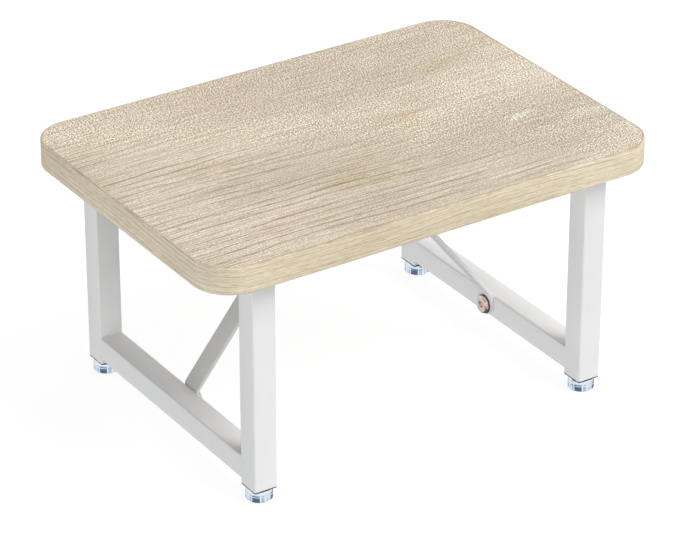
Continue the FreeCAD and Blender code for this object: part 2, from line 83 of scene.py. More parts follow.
class Side(Place):
    """Which side frame a piece belongs to, with its sign along X."""

    LEFT = -1
    RIGHT = 1


class End(Place):
    """Which end of a side frame a piece belongs to, with its sign along Y."""

    FRONT = -1
    REAR = 1


class Pick(Enum):
    """What a rule selects in edit mode."""

    FACES = "FACE"
    EDGES = "EDGE"


# --------------------------------------------------------------------------- the bench


def clear_selection() -> None:
    """Deselect every object."""
    for item in bpy.context.selected_objects:
        item.select_set(False)


class Workpiece:
    """One mesh on the bench, shaped in edit mode and finished with applied modifiers."""

    def __init__(self, name: str) -> None:
        """Take over the primitive that was just added.

        Args:
            name: The piece's name in the finished object.
        """
        self.item = bpy.context.object
        self.item.name = name
        self.item.data.name = name
        self.settle()

    @classmethod
    def block(cls, name: str, low: Vector, high: Vector) -> "Workpiece":
        """Add a block between two corners.

        Args:
            name: The piece's name.
            low: The lowest corner.
            high: The highest corner.

        Returns:
            The new piece.
        """
        clear_selection()
        bpy.ops.mesh.primitive_cube_add(size=1, location=(low + high) / 2, scale=high - low)
        return cls(name)

    @classmethod
    def turned(cls, name: str, outline: Outline, centre: Vector, sides: int = 64) -> "Workpiece":
        """Turn a piece about an upright axis by extruding a disc ring by ring.

        Args:
            name: The piece's name.
            outline: Radius and height of each ring, from the first flat to the last.
            centre: A point on the axis that the heights are counted from.
            sides: How many sides each ring has.

        Returns:
            The new piece, closed by a flat at each end.
        """
        radius, height = outline[0]
        clear_selection()
        bpy.ops.mesh.primitive_circle_add(vertices=sides, radius=radius, fill_type="NGON",
                                          location=centre + Vector((0, 0, height)))
        piece = cls(name)
        with piece.editing():
            bpy.ops.mesh.select_all(action="SELECT")
            piece.draw_up(centre, outline)
            piece.turn_faces_out()
        return piece

    @staticmethod
    def draw_up(centre: Vector, steps: Outline) -> None:
        """Extrude the selected face upwards step by step; edit mode only.

        Args:
            centre: A point on the axis that the heights are counted from.
            steps: Width or radius, and height, of each step; the first is the face as it lies.
        """
        width, height = steps[0]
        for next_width, next_height in steps[1:]:
            shift = (0, 0, next_height - height)
            bpy.ops.mesh.extrude_region_move(TRANSFORM_OT_translate={"value": shift})
            growth = next_width / width
            level = centre + Vector((0, 0, next_height))
            bpy.ops.transform.resize(value=(growth, growth, 1), center_override=level)
            width, height = next_width, next_height

    @staticmethod
    def turn_faces_out() -> None:
        """Select everything and make every face look outwards; edit mode only."""
        bpy.ops.mesh.select_all(action="SELECT")
        bpy.ops.mesh.normals_make_consistent(inside=False)

    @contextmanager
    def editing(self) -> Iterator[None]:
        """Hold the piece in edit mode with nothing selected."""
        self.activate()
        bpy.ops.object.mode_set(mode="EDIT")
        bpy.ops.mesh.select_mode(type=Pick.FACES.value)
        bpy.ops.mesh.select_all(action="DESELECT")
        yield
        bpy.ops.object.mode_set(mode="OBJECT")

    def activate(self) -> None:
        """Make this the one selected and active object."""
        clear_selection()
        self.item.select_set(True)
        bpy.context.view_layer.objects.active = self.item

    def settle(self) -> None:
        """Move the object's place, turn and scale into its mesh."""
        self.activate()
        bpy.ops.object.transform_apply(location=True, rotation=True, scale=True)

    def pick(self, kind: Pick, rule: Rule) -> None:
        """Select the faces or edges that fit a rule; edit mode only.

        Args:
            kind: What to select.
            rule: Takes an element's middle and its direction, a face's normal or an edge's run.
        """
        bpy.ops.mesh.select_mode(type=kind.value)
        bpy.ops.mesh.select_all(action="DESELECT")
        mesh = bmesh.from_edit_mesh(self.item.data)
        if kind is Pick.FACES:
            for face in mesh.faces:
                if rule(face.calc_center_median(), face.normal):
                    face.select_set(True)
        else:
            for edge in mesh.edges:
                start, stop = (corner.co for corner in edge.verts)
                if rule((start + stop) / 2, (stop - start).normalized()):
                    edge.select_set(True)
        bmesh.update_edit_mesh(self.item.data)

    def bevel(self, rule: Rule, width: float, segments: int) -> "Workpiece":
        """Round the edges that fit a rule.

        Args:
            rule: Takes an edge's middle and its run.
            width: The rounding's radius.
            segments: How many facets the rounding has.

        Returns:
            This piece.
        """
        with self.editing():
            self.pick(Pick.EDGES, rule)
            bpy.ops.mesh.bevel(offset=width, segments=segments, affect="EDGES")
        return self

    def modify(self, kind: str, **settings: object) -> "Workpiece":
        """Add a modifier and apply it.

        Args:
            kind: The modifier's type.
            **settings: Its values by name.

        Returns:
            This piece.
        """
        self.activate()
        modifier = self.item.modifiers.new(kind.title(), kind)
        for key, value in settings.items():
            setattr(modifier, key, value)
        bpy.ops.object.modifier_apply(modifier=modifier.name)
        return self

    def soften(self, width: float) -> "Workpiece":
        """Round every sharp edge."""
        return self.modify("BEVEL", width=width, segments=2, limit_method="ANGLE",
                           angle_limit=math.radians(SHARP_ANGLE), harden_normals=False)

    def cut(self, *tools: "Workpiece") -> "Workpiece":
        """Cut the shapes of other pieces out of this one, and discard them."""
        for tool in tools:
            self.modify("BOOLEAN", operation="DIFFERENCE", solver="EXACT", object=tool.item)
            bpy.data.objects.remove(tool.item)
        return self

    def weld_slivers(self) -> "Workpiece":
        """Melt away the slivers that a cut left along its rim."""
        with self.editing():
            bpy.ops.mesh.select_all(action="SELECT")
            bpy.ops.mesh.remove_doubles(threshold=5 * TINY)
            bpy.ops.mesh.dissolve_degenerate(threshold=TINY)
        return self

    def join(self, *others: "Workpiece") -> "Workpiece":
        """Take other meshes into this piece."""
        self.activate()
        for other in others:
            other.item.select_set(True)
        bpy.ops.object.join()
        return self

    def copied(self, name: str, shift: Vector) -> "Workpiece":
        """Copy the piece with its own mesh.

        Args:
            name: The copy's name.
            shift: How far the copy is moved.

        Returns:
            The copy.
        """
        self.activate()
        bpy.ops.object.duplicate(linked=False)
        copy = Workpiece(name)
        copy.item.location = shift
        copy.settle()
        return copy

    def laid(self, turn: tuple[float, float, float], shift: Vector) -> "Workpiece":
        """Turn the piece about the origin, then move it.

        Args:
            turn: The turn about X, Y and Z in degrees.
            shift: How far to move it afterwards.

        Returns:
            This piece.
        """
        self.item.rotation_euler = [math.radians(angle) for angle in turn]
        self.item.location = shift
        self.settle()
        return self

    def finish(self, body: str, palette: "Palette", slot: str, *nodes: str,
               smooth: float = 35) -> "Workpiece":
        """Dress the piece and hand it to the body that carries it.

        Args:
            body: The frame's body that it rides on.
            palette: The finishes by slot.
            slot: The record's slot for its finish.
            *nodes: The frame's nodes that it stands for.
            smooth: The sharpest angle in degrees that is shaded smooth.

        Returns:
            This piece.
        """
        self.activate()
        bpy.ops.object.shade_smooth_by_angle(angle=math.radians(smooth))
        self.item.data.materials.clear()
        self.item.data.materials.append(palette[slot])
        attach(self.item, body)
        if nodes:
            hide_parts(*nodes)
        LOG.info("%s: %d faces", self.item.name, len(self.item.data.polygons))
        return self


def arc(centre: tuple[float, float], radius: float, start: float, stop: float,
        steps: int) -> Outline:
    """Points along an arc of a turned outline.

    Args:
        centre: The arc's centre as radius and height.
        radius: The arc's own radius.
        start: First angle in degrees, counted from outwards towards up.
        stop: Last angle in degrees.
        steps: How many stretches the arc is divided into.

    Returns:
        The points, first and last included.
    """
    angles = [math.radians(start + (stop - start) * step / steps) for step in range(steps + 1)]
    return [(centre[0] + radius * math.cos(a), centre[1] + radius * math.sin(a)) for a in angles]


def hexagon_tool(across_flats: float, low: float, high: float) -> Workpiece:
    """An upright hexagonal cutting tool on the Z axis.

    Args:
        across_flats: Its width over two flats.
        low: Its lower end.
        high: Its upper end.

    Returns:
        The tool.
    """
    clear_selection()
    bpy.ops.mesh.primitive_cylinder_add(vertices=6, radius=across_flats / math.sqrt(3),
                                        depth=high - low, location=(0, 0, (low + high) / 2))
    return Workpiece("hexagon_tool")


def round_tool(radius: float, x: float, y: float, bottom: float, top: float) -> Workpiece:
    """An upright round cutting tool at a place, between two heights."""
    low, high = Vector((x, y, bottom)), Vector((x, y, top))
    clear_selection()
    bpy.ops.mesh.primitive_cylinder_add(vertices=TOOL_SIDES, radius=radius,
                                        depth=(high - low).length, location=(low + high) / 2)
    return Workpiece("round_tool")


# --------------------------------------------------------------------------- finishes


class Wiring:
    """A node tree being wired, with short names for the nodes that the finishes use."""

    def __init__(self, owner: bpy.types.Material | bpy.types.World) -> None:
        """Start on a material's or a world's own tree."""
        owner.use_nodes = True
        self.tree = owner.node_tree

    def node(self, kind: str, **settings: object) -> bpy.types.Node:
        """Add a node and set its properties."""
        made = self.tree.nodes.new(kind)
        for key, value in settings.items():
            setattr(made, key, value)
        return made

    def feed(self, socket: Socket, value: Socket | float | tuple) -> None:
        """Link a socket to another one, or set it to a plain value."""
        if isinstance(value, bpy.types.NodeSocket):
            self.tree.links.new(value, socket)
        else:
            socket.default_value = value

    def place(self) -> Socket:
        """The point on the piece, in metres in the object's own space."""
        return self.node("ShaderNodeTexCoord").outputs["Object"]

    def unwrapped(self, layer: str) -> Socket:
        """The point on the piece's own flat layout."""
        return self.node("ShaderNodeUVMap", uv_map=layer).outputs["UV"]

    def scaled(self, point: Socket, scale: Stretch, shift: Stretch = (0, 0, 0)) -> Socket:
        """Stretch and shift a point."""
        mapping = self.node("ShaderNodeMapping")
        self.feed(mapping.inputs["Vector"], point)
        mapping.inputs["Scale"].default_value = scale
        mapping.inputs["Location"].default_value = shift
        return mapping.outputs["Vector"]

    def noise(self, point: Socket, stretch: Stretch | None = None, shift: Stretch = (0, 0, 0),
              detail: float = 2, roughness: float = 0.5, scale: float = 1) -> Socket:
        """Smooth noise, from 0 to 1 about a half, on a point that may be stretched first."""
        if stretch:
            point = self.scaled(point, stretch, shift)
        made = self.node("ShaderNodeTexNoise")
        self.feed(made.inputs["Vector"], point)
        for key, value in (("Scale", scale), ("Detail", detail), ("Roughness", roughness)):
            made.inputs[key].default_value = value
        return made.outputs["Fac"]

    def cells(self, point: Socket) -> Socket:
        """Distance to scattered cell centres."""
        made = self.node("ShaderNodeTexVoronoi", feature="F1")
        self.feed(made.inputs["Vector"], point)
        made.inputs["Scale"].default_value = 1
        return made.outputs["Distance"]

    def maths(self, operation: str, first: Socket | float, second: Socket | float = 0.0) -> Socket:
        """One operation on one or two numbers."""
        made = self.node("ShaderNodeMath", operation=operation)
        self.feed(made.inputs[0], first)
        self.feed(made.inputs[1], second)
        return made.outputs[0]

    def plus(self, first: Socket | float, second: Socket | float) -> Socket:
        """Two numbers added up."""
        return self.maths("ADD", first, second)

    def minus(self, first: Socket | float, second: Socket | float) -> Socket:
        """The second number taken from the first."""
        return self.maths("SUBTRACT", first, second)

    def times(self, first: Socket | float, second: Socket | float) -> Socket:
        """Two numbers multiplied."""
        return self.maths("MULTIPLY", first, second)

    def spread(self, value: Socket, low: float, high: float, to_low: float = 0,
               to_high: float = 1) -> Socket:
        """Map a range of numbers onto another one, smoothly and with clamped ends."""
        made = self.node("ShaderNodeMapRange", interpolation_type="SMOOTHSTEP")
        self.feed(made.inputs["Value"], value)
        for key, number in (("From Min", low), ("From Max", high), ("To Min", to_low),
                            ("To Max", to_high)):
            made.inputs[key].default_value = number
        return made.outputs["Result"]

    def parts(self, point: Socket) -> tuple[Socket, Socket, Socket]:
        """A point's three numbers."""
        outputs = self.node("ShaderNodeSeparateXYZ")
        self.feed(outputs.inputs[0], point)
        return outputs.outputs[0], outputs.outputs[1], outputs.outputs[2]

    def point(self, x: Socket | float, y: Socket | float, z: Socket | float) -> Socket:
        """A point from three numbers."""
        made = self.node("ShaderNodeCombineXYZ")
        for index, value in enumerate((x, y, z)):
            self.feed(made.inputs[index], value)
        return made.outputs[0]

    def blend(self, share: Socket | float, first: Socket | Rgb, second: Socket | Rgb,
              mode: str = "MIX") -> Socket:
        """Mix two colours."""
        made = self.node("ShaderNodeMix", data_type="RGBA", blend_type=mode)
        self.feed(made.inputs["Factor"], share)
        for index, value in ((6, first), (7, second)):
            colour = value if isinstance(value, bpy.types.NodeSocket) else (*value, 1)
            self.feed(made.inputs[index], colour)
        return made.outputs[2]


class Recipe(Wiring):
    """A material being wired, with one Principled surface."""

    def __init__(self, name: str) -> None:
        """Start a new material."""
        self.material = bpy.data.materials.new(name)
        super().__init__(self.material)
        self.surface = self.tree.nodes["Principled BSDF"]

    def bump(self, height: Socket, distance: float, strength: float = 1) -> None:
        """Raise the surface by a height pattern times a distance in metres."""
        made = self.node("ShaderNodeBump")
        made.inputs["Strength"].default_value = strength
        made.inputs["Distance"].default_value = distance
        self.feed(made.inputs["Height"], height)
        self.feed(self.surface.inputs["Normal"], made.outputs["Normal"])

    def paint(self, **values: Socket | float | tuple) -> bpy.types.Material:
        """Feed the surface's sockets and return the material.

        Args:
            **values: A value or socket by the surface's socket name, spaces as underscores.

        Returns:
            The finished material.
        """
        for key, value in values.items():
            colour = isinstance(value, tuple) and len(value) == 3
            self.feed(self.surface.inputs[key.replace("_", " ")], (*value, 1) if colour else value)
        return self.material


PALE_WOOD = (0.86, 0.85, 0.74)
BLUSHED_WOOD = (0.66, 0.43, 0.36)
UPWARD_PAINTED_SHADE = (0.78, 0.765, 0.765)  # painted shade on the band's upward-facing faces
GREYED_SHARE = 0.22                 # of the dark tone in the greyed one
GRIT_SHARES = (0.92, 1.0, 1.2)      # how far the speckle moves red, green and blue
SWAY = 0.020                        # how far the grain wanders sideways
OAK_RELIEF = 0.00010
KNOT_PLACE = (0.134, -0.046)
KNOT_STRETCH = (48, 140)
FINE_LINES = 0.36                   # pitch of the fine lines as a share of the strong ones'


@dataclass(frozen=True)
class OakDecor:
    """Washed oak decor: long growth lines, open pores, fine speckle, warm and pale clouds.

    Attributes:
        name: The material's name.
        light: The washed tone.
        dark: The tone of lines and pores.
        warm: The tone of the warm clouds.
        line_pitch: Distance between the strong lines, in metres.
        line_strength: How far a line darkens, from 0 to 1.
        fibre: How many fibres there are across a metre.
        grain_size: Speckles along and across a metre.
        speckle: How strongly the speckle shows.
        wrapped: Whether the decor runs round the board's edge.
    """

    name: str
    light: Rgb
    dark: Rgb
    warm: Rgb
    line_pitch: float
    line_strength: float
    fibre: float
    grain_size: tuple[float, float]
    speckle: float
    wrapped: bool

    def material(self) -> bpy.types.Material:
        """Wire the finish.

        Returns:
            The material, with its grain along the point's first axis.
        """
        mix = Recipe(self.name)
        point = mix.unwrapped("grain") if self.wrapped else mix.place()
        along, across, _ = mix.parts(point)
        sway = mix.noise(point, (4, 6, 1), detail=1)
        grain = mix.point(along, mix.plus(across, mix.times(sway, SWAY)), 0.0)

        zone = self.line_zone(mix, point)
        lines = self.growth_lines(mix, grain, zone)
        fine = mix.noise(grain, (18, self.fibre, 1), detail=2, roughness=0.6)
        pores = mix.noise(grain, (150, self.fibre * 1.6, 1), (0, 4.2, 0), detail=1)
        dots = mix.noise(grain, (*self.grain_size, 1), detail=2, roughness=0.85)
        clouds = mix.noise(point, (8, 30, 1), (1.7, 5.3, 0), detail=3)
        drift = mix.noise(point, (5, 11, 1), (8.4, 2.2, 0), detail=3)
        blush = mix.noise(point, (9, 14, 1), (4.4, 9.2, 0), detail=2)

        greyed = tuple(light * (1 - GREYED_SHARE) + dark * GREYED_SHARE
                       for light, dark in zip(self.light, self.dark))
        base = mix.blend(mix.spread(drift, 0.36, 0.62), self.light, greyed)
        base = mix.blend(mix.spread(clouds, 0.58, 0.74, 0, 0.6), base, self.warm)
        base = mix.blend(mix.spread(blush, 0.58, 0.72, 0, 0.12), base, BLUSHED_WOOD)
        base = mix.blend(mix.spread(fine, 0.36, 0.56, 0.30, 0), base, self.dark)
        base = mix.blend(mix.times(lines, self.line_strength), base, self.dark)
        base = mix.blend(mix.spread(pores, 0.32, 0.44, 0.35, 0), base, self.dark)
        base = self.with_figures(mix, point, base)
        if self.wrapped:
            # Painted shade: where the band faces upwards, its colour is darkened by multiplying with
            # a grey tint.
            facing = mix.parts(mix.node("ShaderNodeTexCoord").outputs["Normal"])[2]
            base = mix.blend(mix.spread(facing, 0.55, 0.9), base,
                             mix.blend(1.0, base, UPWARD_PAINTED_SHADE, "MULTIPLY"))
        contrast = mix.spread(zone, 0.2, 0.9, self.speckle, self.speckle * 0.40)
        grit = mix.times(mix.spread(dots, 0.41, 0.59, -1, 1), contrast)
        shares = [mix.plus(mix.times(grit, share), 1.0) for share in GRIT_SHARES]
        base = mix.blend(1.0, base, mix.point(*shares), "MULTIPLY")

        relief = mix.plus(mix.times(dots, 0.8), mix.times(fine, 0.8))
        relief = mix.minus(relief, mix.times(lines, 0.5))
        mix.bump(relief, OAK_RELIEF, 0.8)
        return mix.paint(Base_Color=base, Roughness=mix.spread(dots, 0.3, 0.7, 0.52, 0.66),
                         Specular_IOR_Level=0.3)

    def line_zone(self, mix: Recipe, point: Socket) -> Socket:
        """Where the growth lines are strong: all round the band, and at the board's front left."""
        if self.wrapped:
            return mix.plus(1.0, 0.0)
        x, y, _ = mix.parts(point)
        corner = mix.plus(mix.times(x, -0.7), mix.times(y, -1.0))
        wander = mix.noise(point, (9, 14, 1), (0, 3, 0), detail=2)
        reach = mix.plus(corner, mix.times(wander, 0.16))
        return mix.spread(reach, 0.06, 0.16, 0.32, 1)

    def growth_lines(self, mix: Recipe, grain: Socket, zone: Socket) -> Socket:
        """Thin dark lines along the grain, as strong as their zone says."""
        strong = self.rows(mix, grain, self.line_pitch, 0.28, (0.0, 0.0, 0.0))
        thin = self.rows(mix, grain, self.line_pitch * FINE_LINES, 0.36, (0.3, 0.1, 0.0))
        lines = mix.maths("MAXIMUM", strong, mix.times(thin, 0.8))
        return mix.times(lines, zone)

    def rows(self, mix: Recipe, grain: Socket, pitch: float, width: float,
             shift: Stretch) -> Socket:
        """Rows of lines with a pitch, a share of it that each line takes, and broken strength."""
        along, across, _ = mix.parts(grain)
        wobble = mix.noise(grain, (6, 0.22 / pitch, 1), shift, detail=2, roughness=0.6)
        phase = mix.plus(mix.times(across, 1 / pitch),
                          mix.times(wobble, 2.0))
        away = mix.maths("ABSOLUTE", mix.minus(mix.maths("FRACT", phase), 0.5))
        ragged = mix.noise(grain, (60, 3.0 / pitch, 1), shift, detail=2)
        away = mix.plus(away, mix.times(mix.minus(ragged, 0.5), 0.25))
        line = mix.spread(away, 0.0, width / 2, 1, 0)
        breaks = mix.noise(grain, (9, 0.8 / pitch, 1), shift, detail=1)
        return mix.times(line, mix.spread(breaks, 0.32, 0.54, 0.1, 1))

    def with_figures(self, mix: Recipe, point: Socket, base: Socket) -> Socket:
        """Lay pale mottling and one feathered figure, as over a small knot, on the flat face."""
        if self.wrapped:
            return base
        mottle = mix.noise(point, (13, 38, 1), (6.1, 2.8, 0), detail=3)
        mottled = mix.times(mix.spread(mottle, 0.54, 0.70, 0, 0.26),
                            mix.spread(mix.parts(point)[0], 0.0, 0.08))
        base = mix.blend(mottled, base, PALE_WOOD)
        place = [-stretch * at for stretch, at in zip(KNOT_STRETCH, KNOT_PLACE)]
        spot = mix.scaled(point, (*KNOT_STRETCH, 0), (*place, 0))
        near = mix.node("ShaderNodeVectorMath", operation="LENGTH")
        mix.feed(near.inputs[0], spot)
        feather = mix.noise(point, (160, 420, 1), detail=2)
        ragged = mix.plus(near.outputs["Value"], mix.times(feather, 2.6))
        return mix.blend(mix.spread(ragged, 1.5, 2.1, 0.70, 0), base, PALE_WOOD)


@dataclass(frozen=True)
class BackingFoil:
    """Plain matt foil under the board, with a faint paper texture."""

    colour: Rgb = (0.72, 0.66, 0.56)

    def material(self) -> bpy.types.Material:
        """Wire the finish."""
        mix = Recipe("backing_foil")
        point = mix.place()
        paper = mix.noise(point, (900, 900, 900), detail=3)
        streak = mix.noise(point, (12, 260, 1), detail=2)
        shade = mix.blend(mix.spread(streak, 0.35, 0.65), self.colour,
                          tuple(channel * 0.92 for channel in self.colour))
        mix.bump(paper, 0.00004)
        return mix.paint(Base_Color=shade, Roughness=mix.spread(paper, 0.3, 0.7, 0.6, 0.72))


@dataclass(frozen=True)
class PressedChips:
    """Raw particle board."""

    colour: Rgb = (0.52, 0.38, 0.22)

    def material(self) -> bpy.types.Material:
        """Wire the finish."""
        mix = Recipe("pressed_chips")
        chips = mix.cells(mix.scaled(mix.place(), (260, 420, 520)))
        tint = mix.blend(mix.spread(chips, 0.1, 0.8), self.colour,
                         tuple(channel * 0.6 for channel in self.colour))
        mix.bump(chips, 0.0002)
        return mix.paint(Base_Color=tint, Roughness=0.85)


@dataclass(frozen=True)
class PowderCoat:
    """Satin powder coat: fine orange peel, faint dust, and a painted highlight that lightens sharp
    edges.
    """

    colour: Rgb = (0.80, 0.795, 0.79)

    def material(self) -> bpy.types.Material:
        """Wire the finish."""
        mix = Recipe("powder_coat")
        point = mix.place()
        peel = mix.noise(point, (1400, 1400, 1400), detail=2)
        waves = mix.noise(point, (260, 260, 260), detail=1)
        dust = mix.noise(point, (22, 22, 22), detail=4, roughness=0.6)
        tone = mix.blend(mix.spread(dust, 0.35, 0.7), self.colour,
                         tuple(channel * 0.965 for channel in self.colour))
        # Painted highlight: sharp convex edges are lightened towards pale grey.
        edge = mix.node("ShaderNodeNewGeometry").outputs["Pointiness"]
        tone = mix.blend(mix.spread(edge, 0.52, 0.60, 0, 0.35), tone, (0.88, 0.88, 0.88))
        height = mix.plus(peel, mix.times(waves, 1.5))
        mix.bump(height, 0.00003)
        return mix.paint(Base_Color=tone, Roughness=mix.spread(dust, 0.3, 0.7, 0.36, 0.46),
                         Coat_Weight=0.12, Coat_Roughness=0.25)


@dataclass(frozen=True)
class PlatedMetal:
    """A plated metal: fine turning marks or brushing, faint clouding and small scratches."""

    name: str
    colour: Rgb
    tarnish: Rgb
    gloss: float
    marks: float

    def material(self) -> bpy.types.Material:
        """Wire the finish."""
        mix = Recipe(self.name)
        point = mix.place()
        clouding = mix.noise(point, (180, 180, 180), detail=3)
        scratch = mix.noise(point, (300, 300, 4200), detail=2)
        fleck = mix.noise(point, (2600, 2600, 2600), detail=1)
        tone = mix.blend(mix.spread(clouding, 0.42, 0.68, 0, 0.6), self.colour, self.tarnish)
        relief = mix.plus(scratch, mix.times(fleck, 0.5))
        mix.bump(relief, self.marks)
        rough = mix.spread(clouding, 0.3, 0.7, self.gloss, self.gloss * 1.6)
        return mix.paint(Base_Color=tone, Metallic=1.0, Roughness=rough)


@dataclass(frozen=True)
class MouldedPlastic:
    """Moulded plastic with a fine spark-eroded grain."""

    name: str
    colour: Rgb
    gloss: float

    def material(self) -> bpy.types.Material:
        """Wire the finish."""
        mix = Recipe(self.name)
        point = mix.place()
        grain = mix.noise(point, (1800, 1800, 1800), detail=2)
        bloom = mix.noise(point, (90, 90, 90), detail=3)
        tone = mix.blend(mix.spread(bloom, 0.4, 0.7), self.colour,
                         tuple(channel * 1.35 for channel in self.colour))
        mix.bump(grain, 0.00003)
        return mix.paint(Base_Color=tone,
                         Roughness=mix.spread(grain, 0.3, 0.7, self.gloss, self.gloss + 0.15))


Palette = dict[str, bpy.types.Material]


def mix_palette() -> Palette:
    """Mix every finish of the stand once, by its slot in the record."""
    finishes = {
        "oak_laminate": OakDecor("oak_laminate", (0.78, 0.68, 0.535), (0.25, 0.19, 0.12),
                                 (0.54, 0.41, 0.235), line_pitch=0.0078, line_strength=0.80,
                                 fibre=520, grain_size=(810, 1150), speckle=0.92, wrapped=False),
        "oak_edge_band": OakDecor("oak_edge_band", (0.86, 0.765, 0.59), (0.40, 0.31, 0.18),
                                  (0.64, 0.51, 0.30), line_pitch=0.0042, line_strength=0.62,
                                  fibre=1100, grain_size=(90, 1500), speckle=0.24, wrapped=True),
        "backing_laminate": BackingFoil(),
        "particle_board": PressedChips(),
        "powder_coat": PowderCoat(),
        "foot_chrome": PlatedMetal("foot_chrome", (0.86, 0.90, 0.94), (0.78, 0.83, 0.88),
                                   gloss=0.045, marks=0.0000015),
        "zinc_plate": PlatedMetal("zinc_plate", (0.66, 0.68, 0.70), (0.52, 0.54, 0.57),
                                  gloss=0.24, marks=0.000006),
        "copper_plate": PlatedMetal("copper_plate", (0.92, 0.72, 0.63), (0.72, 0.53, 0.46),
                                    gloss=0.20, marks=0.000006),
        "black_plastic": MouldedPlastic("black_plastic", (0.018, 0.018, 0.020), gloss=0.42),
        "pad_plastic": MouldedPlastic("pad_plastic", (0.085, 0.085, 0.09), gloss=0.5),
    }
    return {slot: finish.material() for slot, finish in finishes.items()}


# --------------------------------------------------------------------------- sub-assemblies


@dataclass
class Tabletop:
    """The board: top laminate, edge band, backing foil and core."""

    band: float = 2.0 * MM
    corner: float = 32.0 * MM
    rounding: float = 1.0 * MM
    seam: float = 0.12 * MM
    corner_facets: int = 28

    def build(self, palette: Palette) -> None:
        """Make the visible layers: the top laminate and the edge band."""
        self.low, self.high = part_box("tabletop_edge_band")
        self.straight = Vector((self.high.x - self.corner, self.high.y - self.corner))
        self.make_top().finish("stand", palette, "oak_laminate", "tabletop_top_laminate")
        band = self.make_band()
        self.lay_out_grain(band)
        band.finish("stand", palette, "oak_edge_band", "tabletop_edge_band")

    def outset(self, point: Vector) -> float:
        """How far a point lies outside the rectangle that the corner arcs are struck from."""
        over = (max(abs(point.x) - self.straight.x, 0), max(abs(point.y) - self.straight.y, 0))
        return math.hypot(*over)

    def blank(self, name: str, low: Vector, high: Vector, corner: float) -> Workpiece:
        """A slab with rounded upright corners.

        Args:
            name: The piece's name.
            low: Its lowest corner.
            high: Its highest corner.
            corner: The radius of its upright corners.

        Returns:
            The slab.
        """
        slab = Workpiece.block(name, low, high)
        return slab.bevel(lambda _, run: abs(run.z) > ALONG, corner, self.corner_facets)

    def make_top(self) -> Workpiece:
        """The top laminate, with a hairline at its seam to the edge band."""
        low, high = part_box("tabletop_top_laminate")
        top = self.blank("top_laminate", low, high, self.corner - self.band)
        return top.bevel(lambda middle, _: middle.z > high.z - TINY, self.seam, 1)

    def make_band(self) -> Workpiece:
        """The edge band, bored through to a ring and rounded on its outer arrises."""
        ring = self.blank("edge_band", self.low, self.high, self.corner)
        with ring.editing():
            ring.pick(Pick.FACES, lambda _, normal: abs(normal.z) > ALONG)
            bpy.ops.mesh.inset(thickness=self.band)
            bpy.ops.mesh.bridge_edge_loops()
        levels = (self.low.z, self.high.z)

        def flat_edge(middle: Vector, run: Vector) -> bool:
            return abs(run.z) < 0.1 and min(abs(middle.z - level) for level in levels) < TINY

        outer = self.corner - self.band / 2
        ring.bevel(lambda middle, run: flat_edge(middle, run) and self.outset(middle) > outer
                   and self.follows(middle, run), self.rounding, 5)
        ring.bevel(lambda middle, run: flat_edge(middle, run) and self.outset(middle) < outer
                   and self.follows(middle, run), self.seam, 1)
        with ring.editing():
            bpy.ops.mesh.select_all(action="SELECT")
            bpy.ops.mesh.bisect(plane_co=(0, 0, 0), plane_no=(1, 0, 0))
            ring.turn_faces_out()
        return ring

    def follows(self, middle: Vector, run: Vector) -> bool:
        """Whether an edge runs along the board's outline and not across the band."""
        over = Vector((max(abs(middle.x) - self.straight.x, 0) * math.copysign(1, middle.x),
                       max(abs(middle.y) - self.straight.y, 0) * math.copysign(1, middle.y), 0))
        return abs(over.normalized().dot(run)) < 0.5

    def travel(self, point: Vector, middle: Vector) -> float:
        """Distance round the band from the middle of its rear edge.

        Args:
            point: A point on the band.
            middle: The middle of the face that it belongs to, which decides on the seam.

        Returns:
            The distance, anticlockwise as seen from above.
        """
        x, y = point.x, point.y
        sx, sy = self.straight
        quarter = math.pi * self.corner / 2
        if y > sy - TINY and abs(x) <= sx + TINY:
            around = 4 * (sx + sy + quarter)
            return around - x if middle.x > 0 else -x
        turned = math.atan2(max(abs(y) - sy, 0), max(abs(x) - sx, 0)) * self.corner
        if x < 0:
            if y > 0:
                return sx + quarter - turned if y > sy else sx + quarter + sy - y
            if y > -sy:
                return sx + quarter + sy - y
            if x < -sx:
                return sx + quarter + 2 * sy + turned
            return 2 * sx + 2 * quarter + 2 * sy + x
        if y < -sy and x <= sx:
            return 2 * sx + 2 * quarter + 2 * sy + x
        front = 3 * sx + 2 * quarter + 2 * sy
        if y < -sy:
            return front + quarter - turned
        if y <= sy:
            return front + quarter + sy + y
        return front + quarter + 2 * sy + turned

    def lay_out_grain(self, ring: Workpiece) -> None:
        """Give the band a flat layout in metres: distance round it, and height."""
        mesh = ring.item.data
        layer = mesh.uv_layers.new(name="grain")
        for face in mesh.polygons:
            for loop in face.loop_indices:
                point = mesh.vertices[mesh.loops[loop].vertex_index].co
                depth = self.corner - self.outset(point)
                layer.data[loop].uv = (self.travel(point, face.center), point.z - depth)


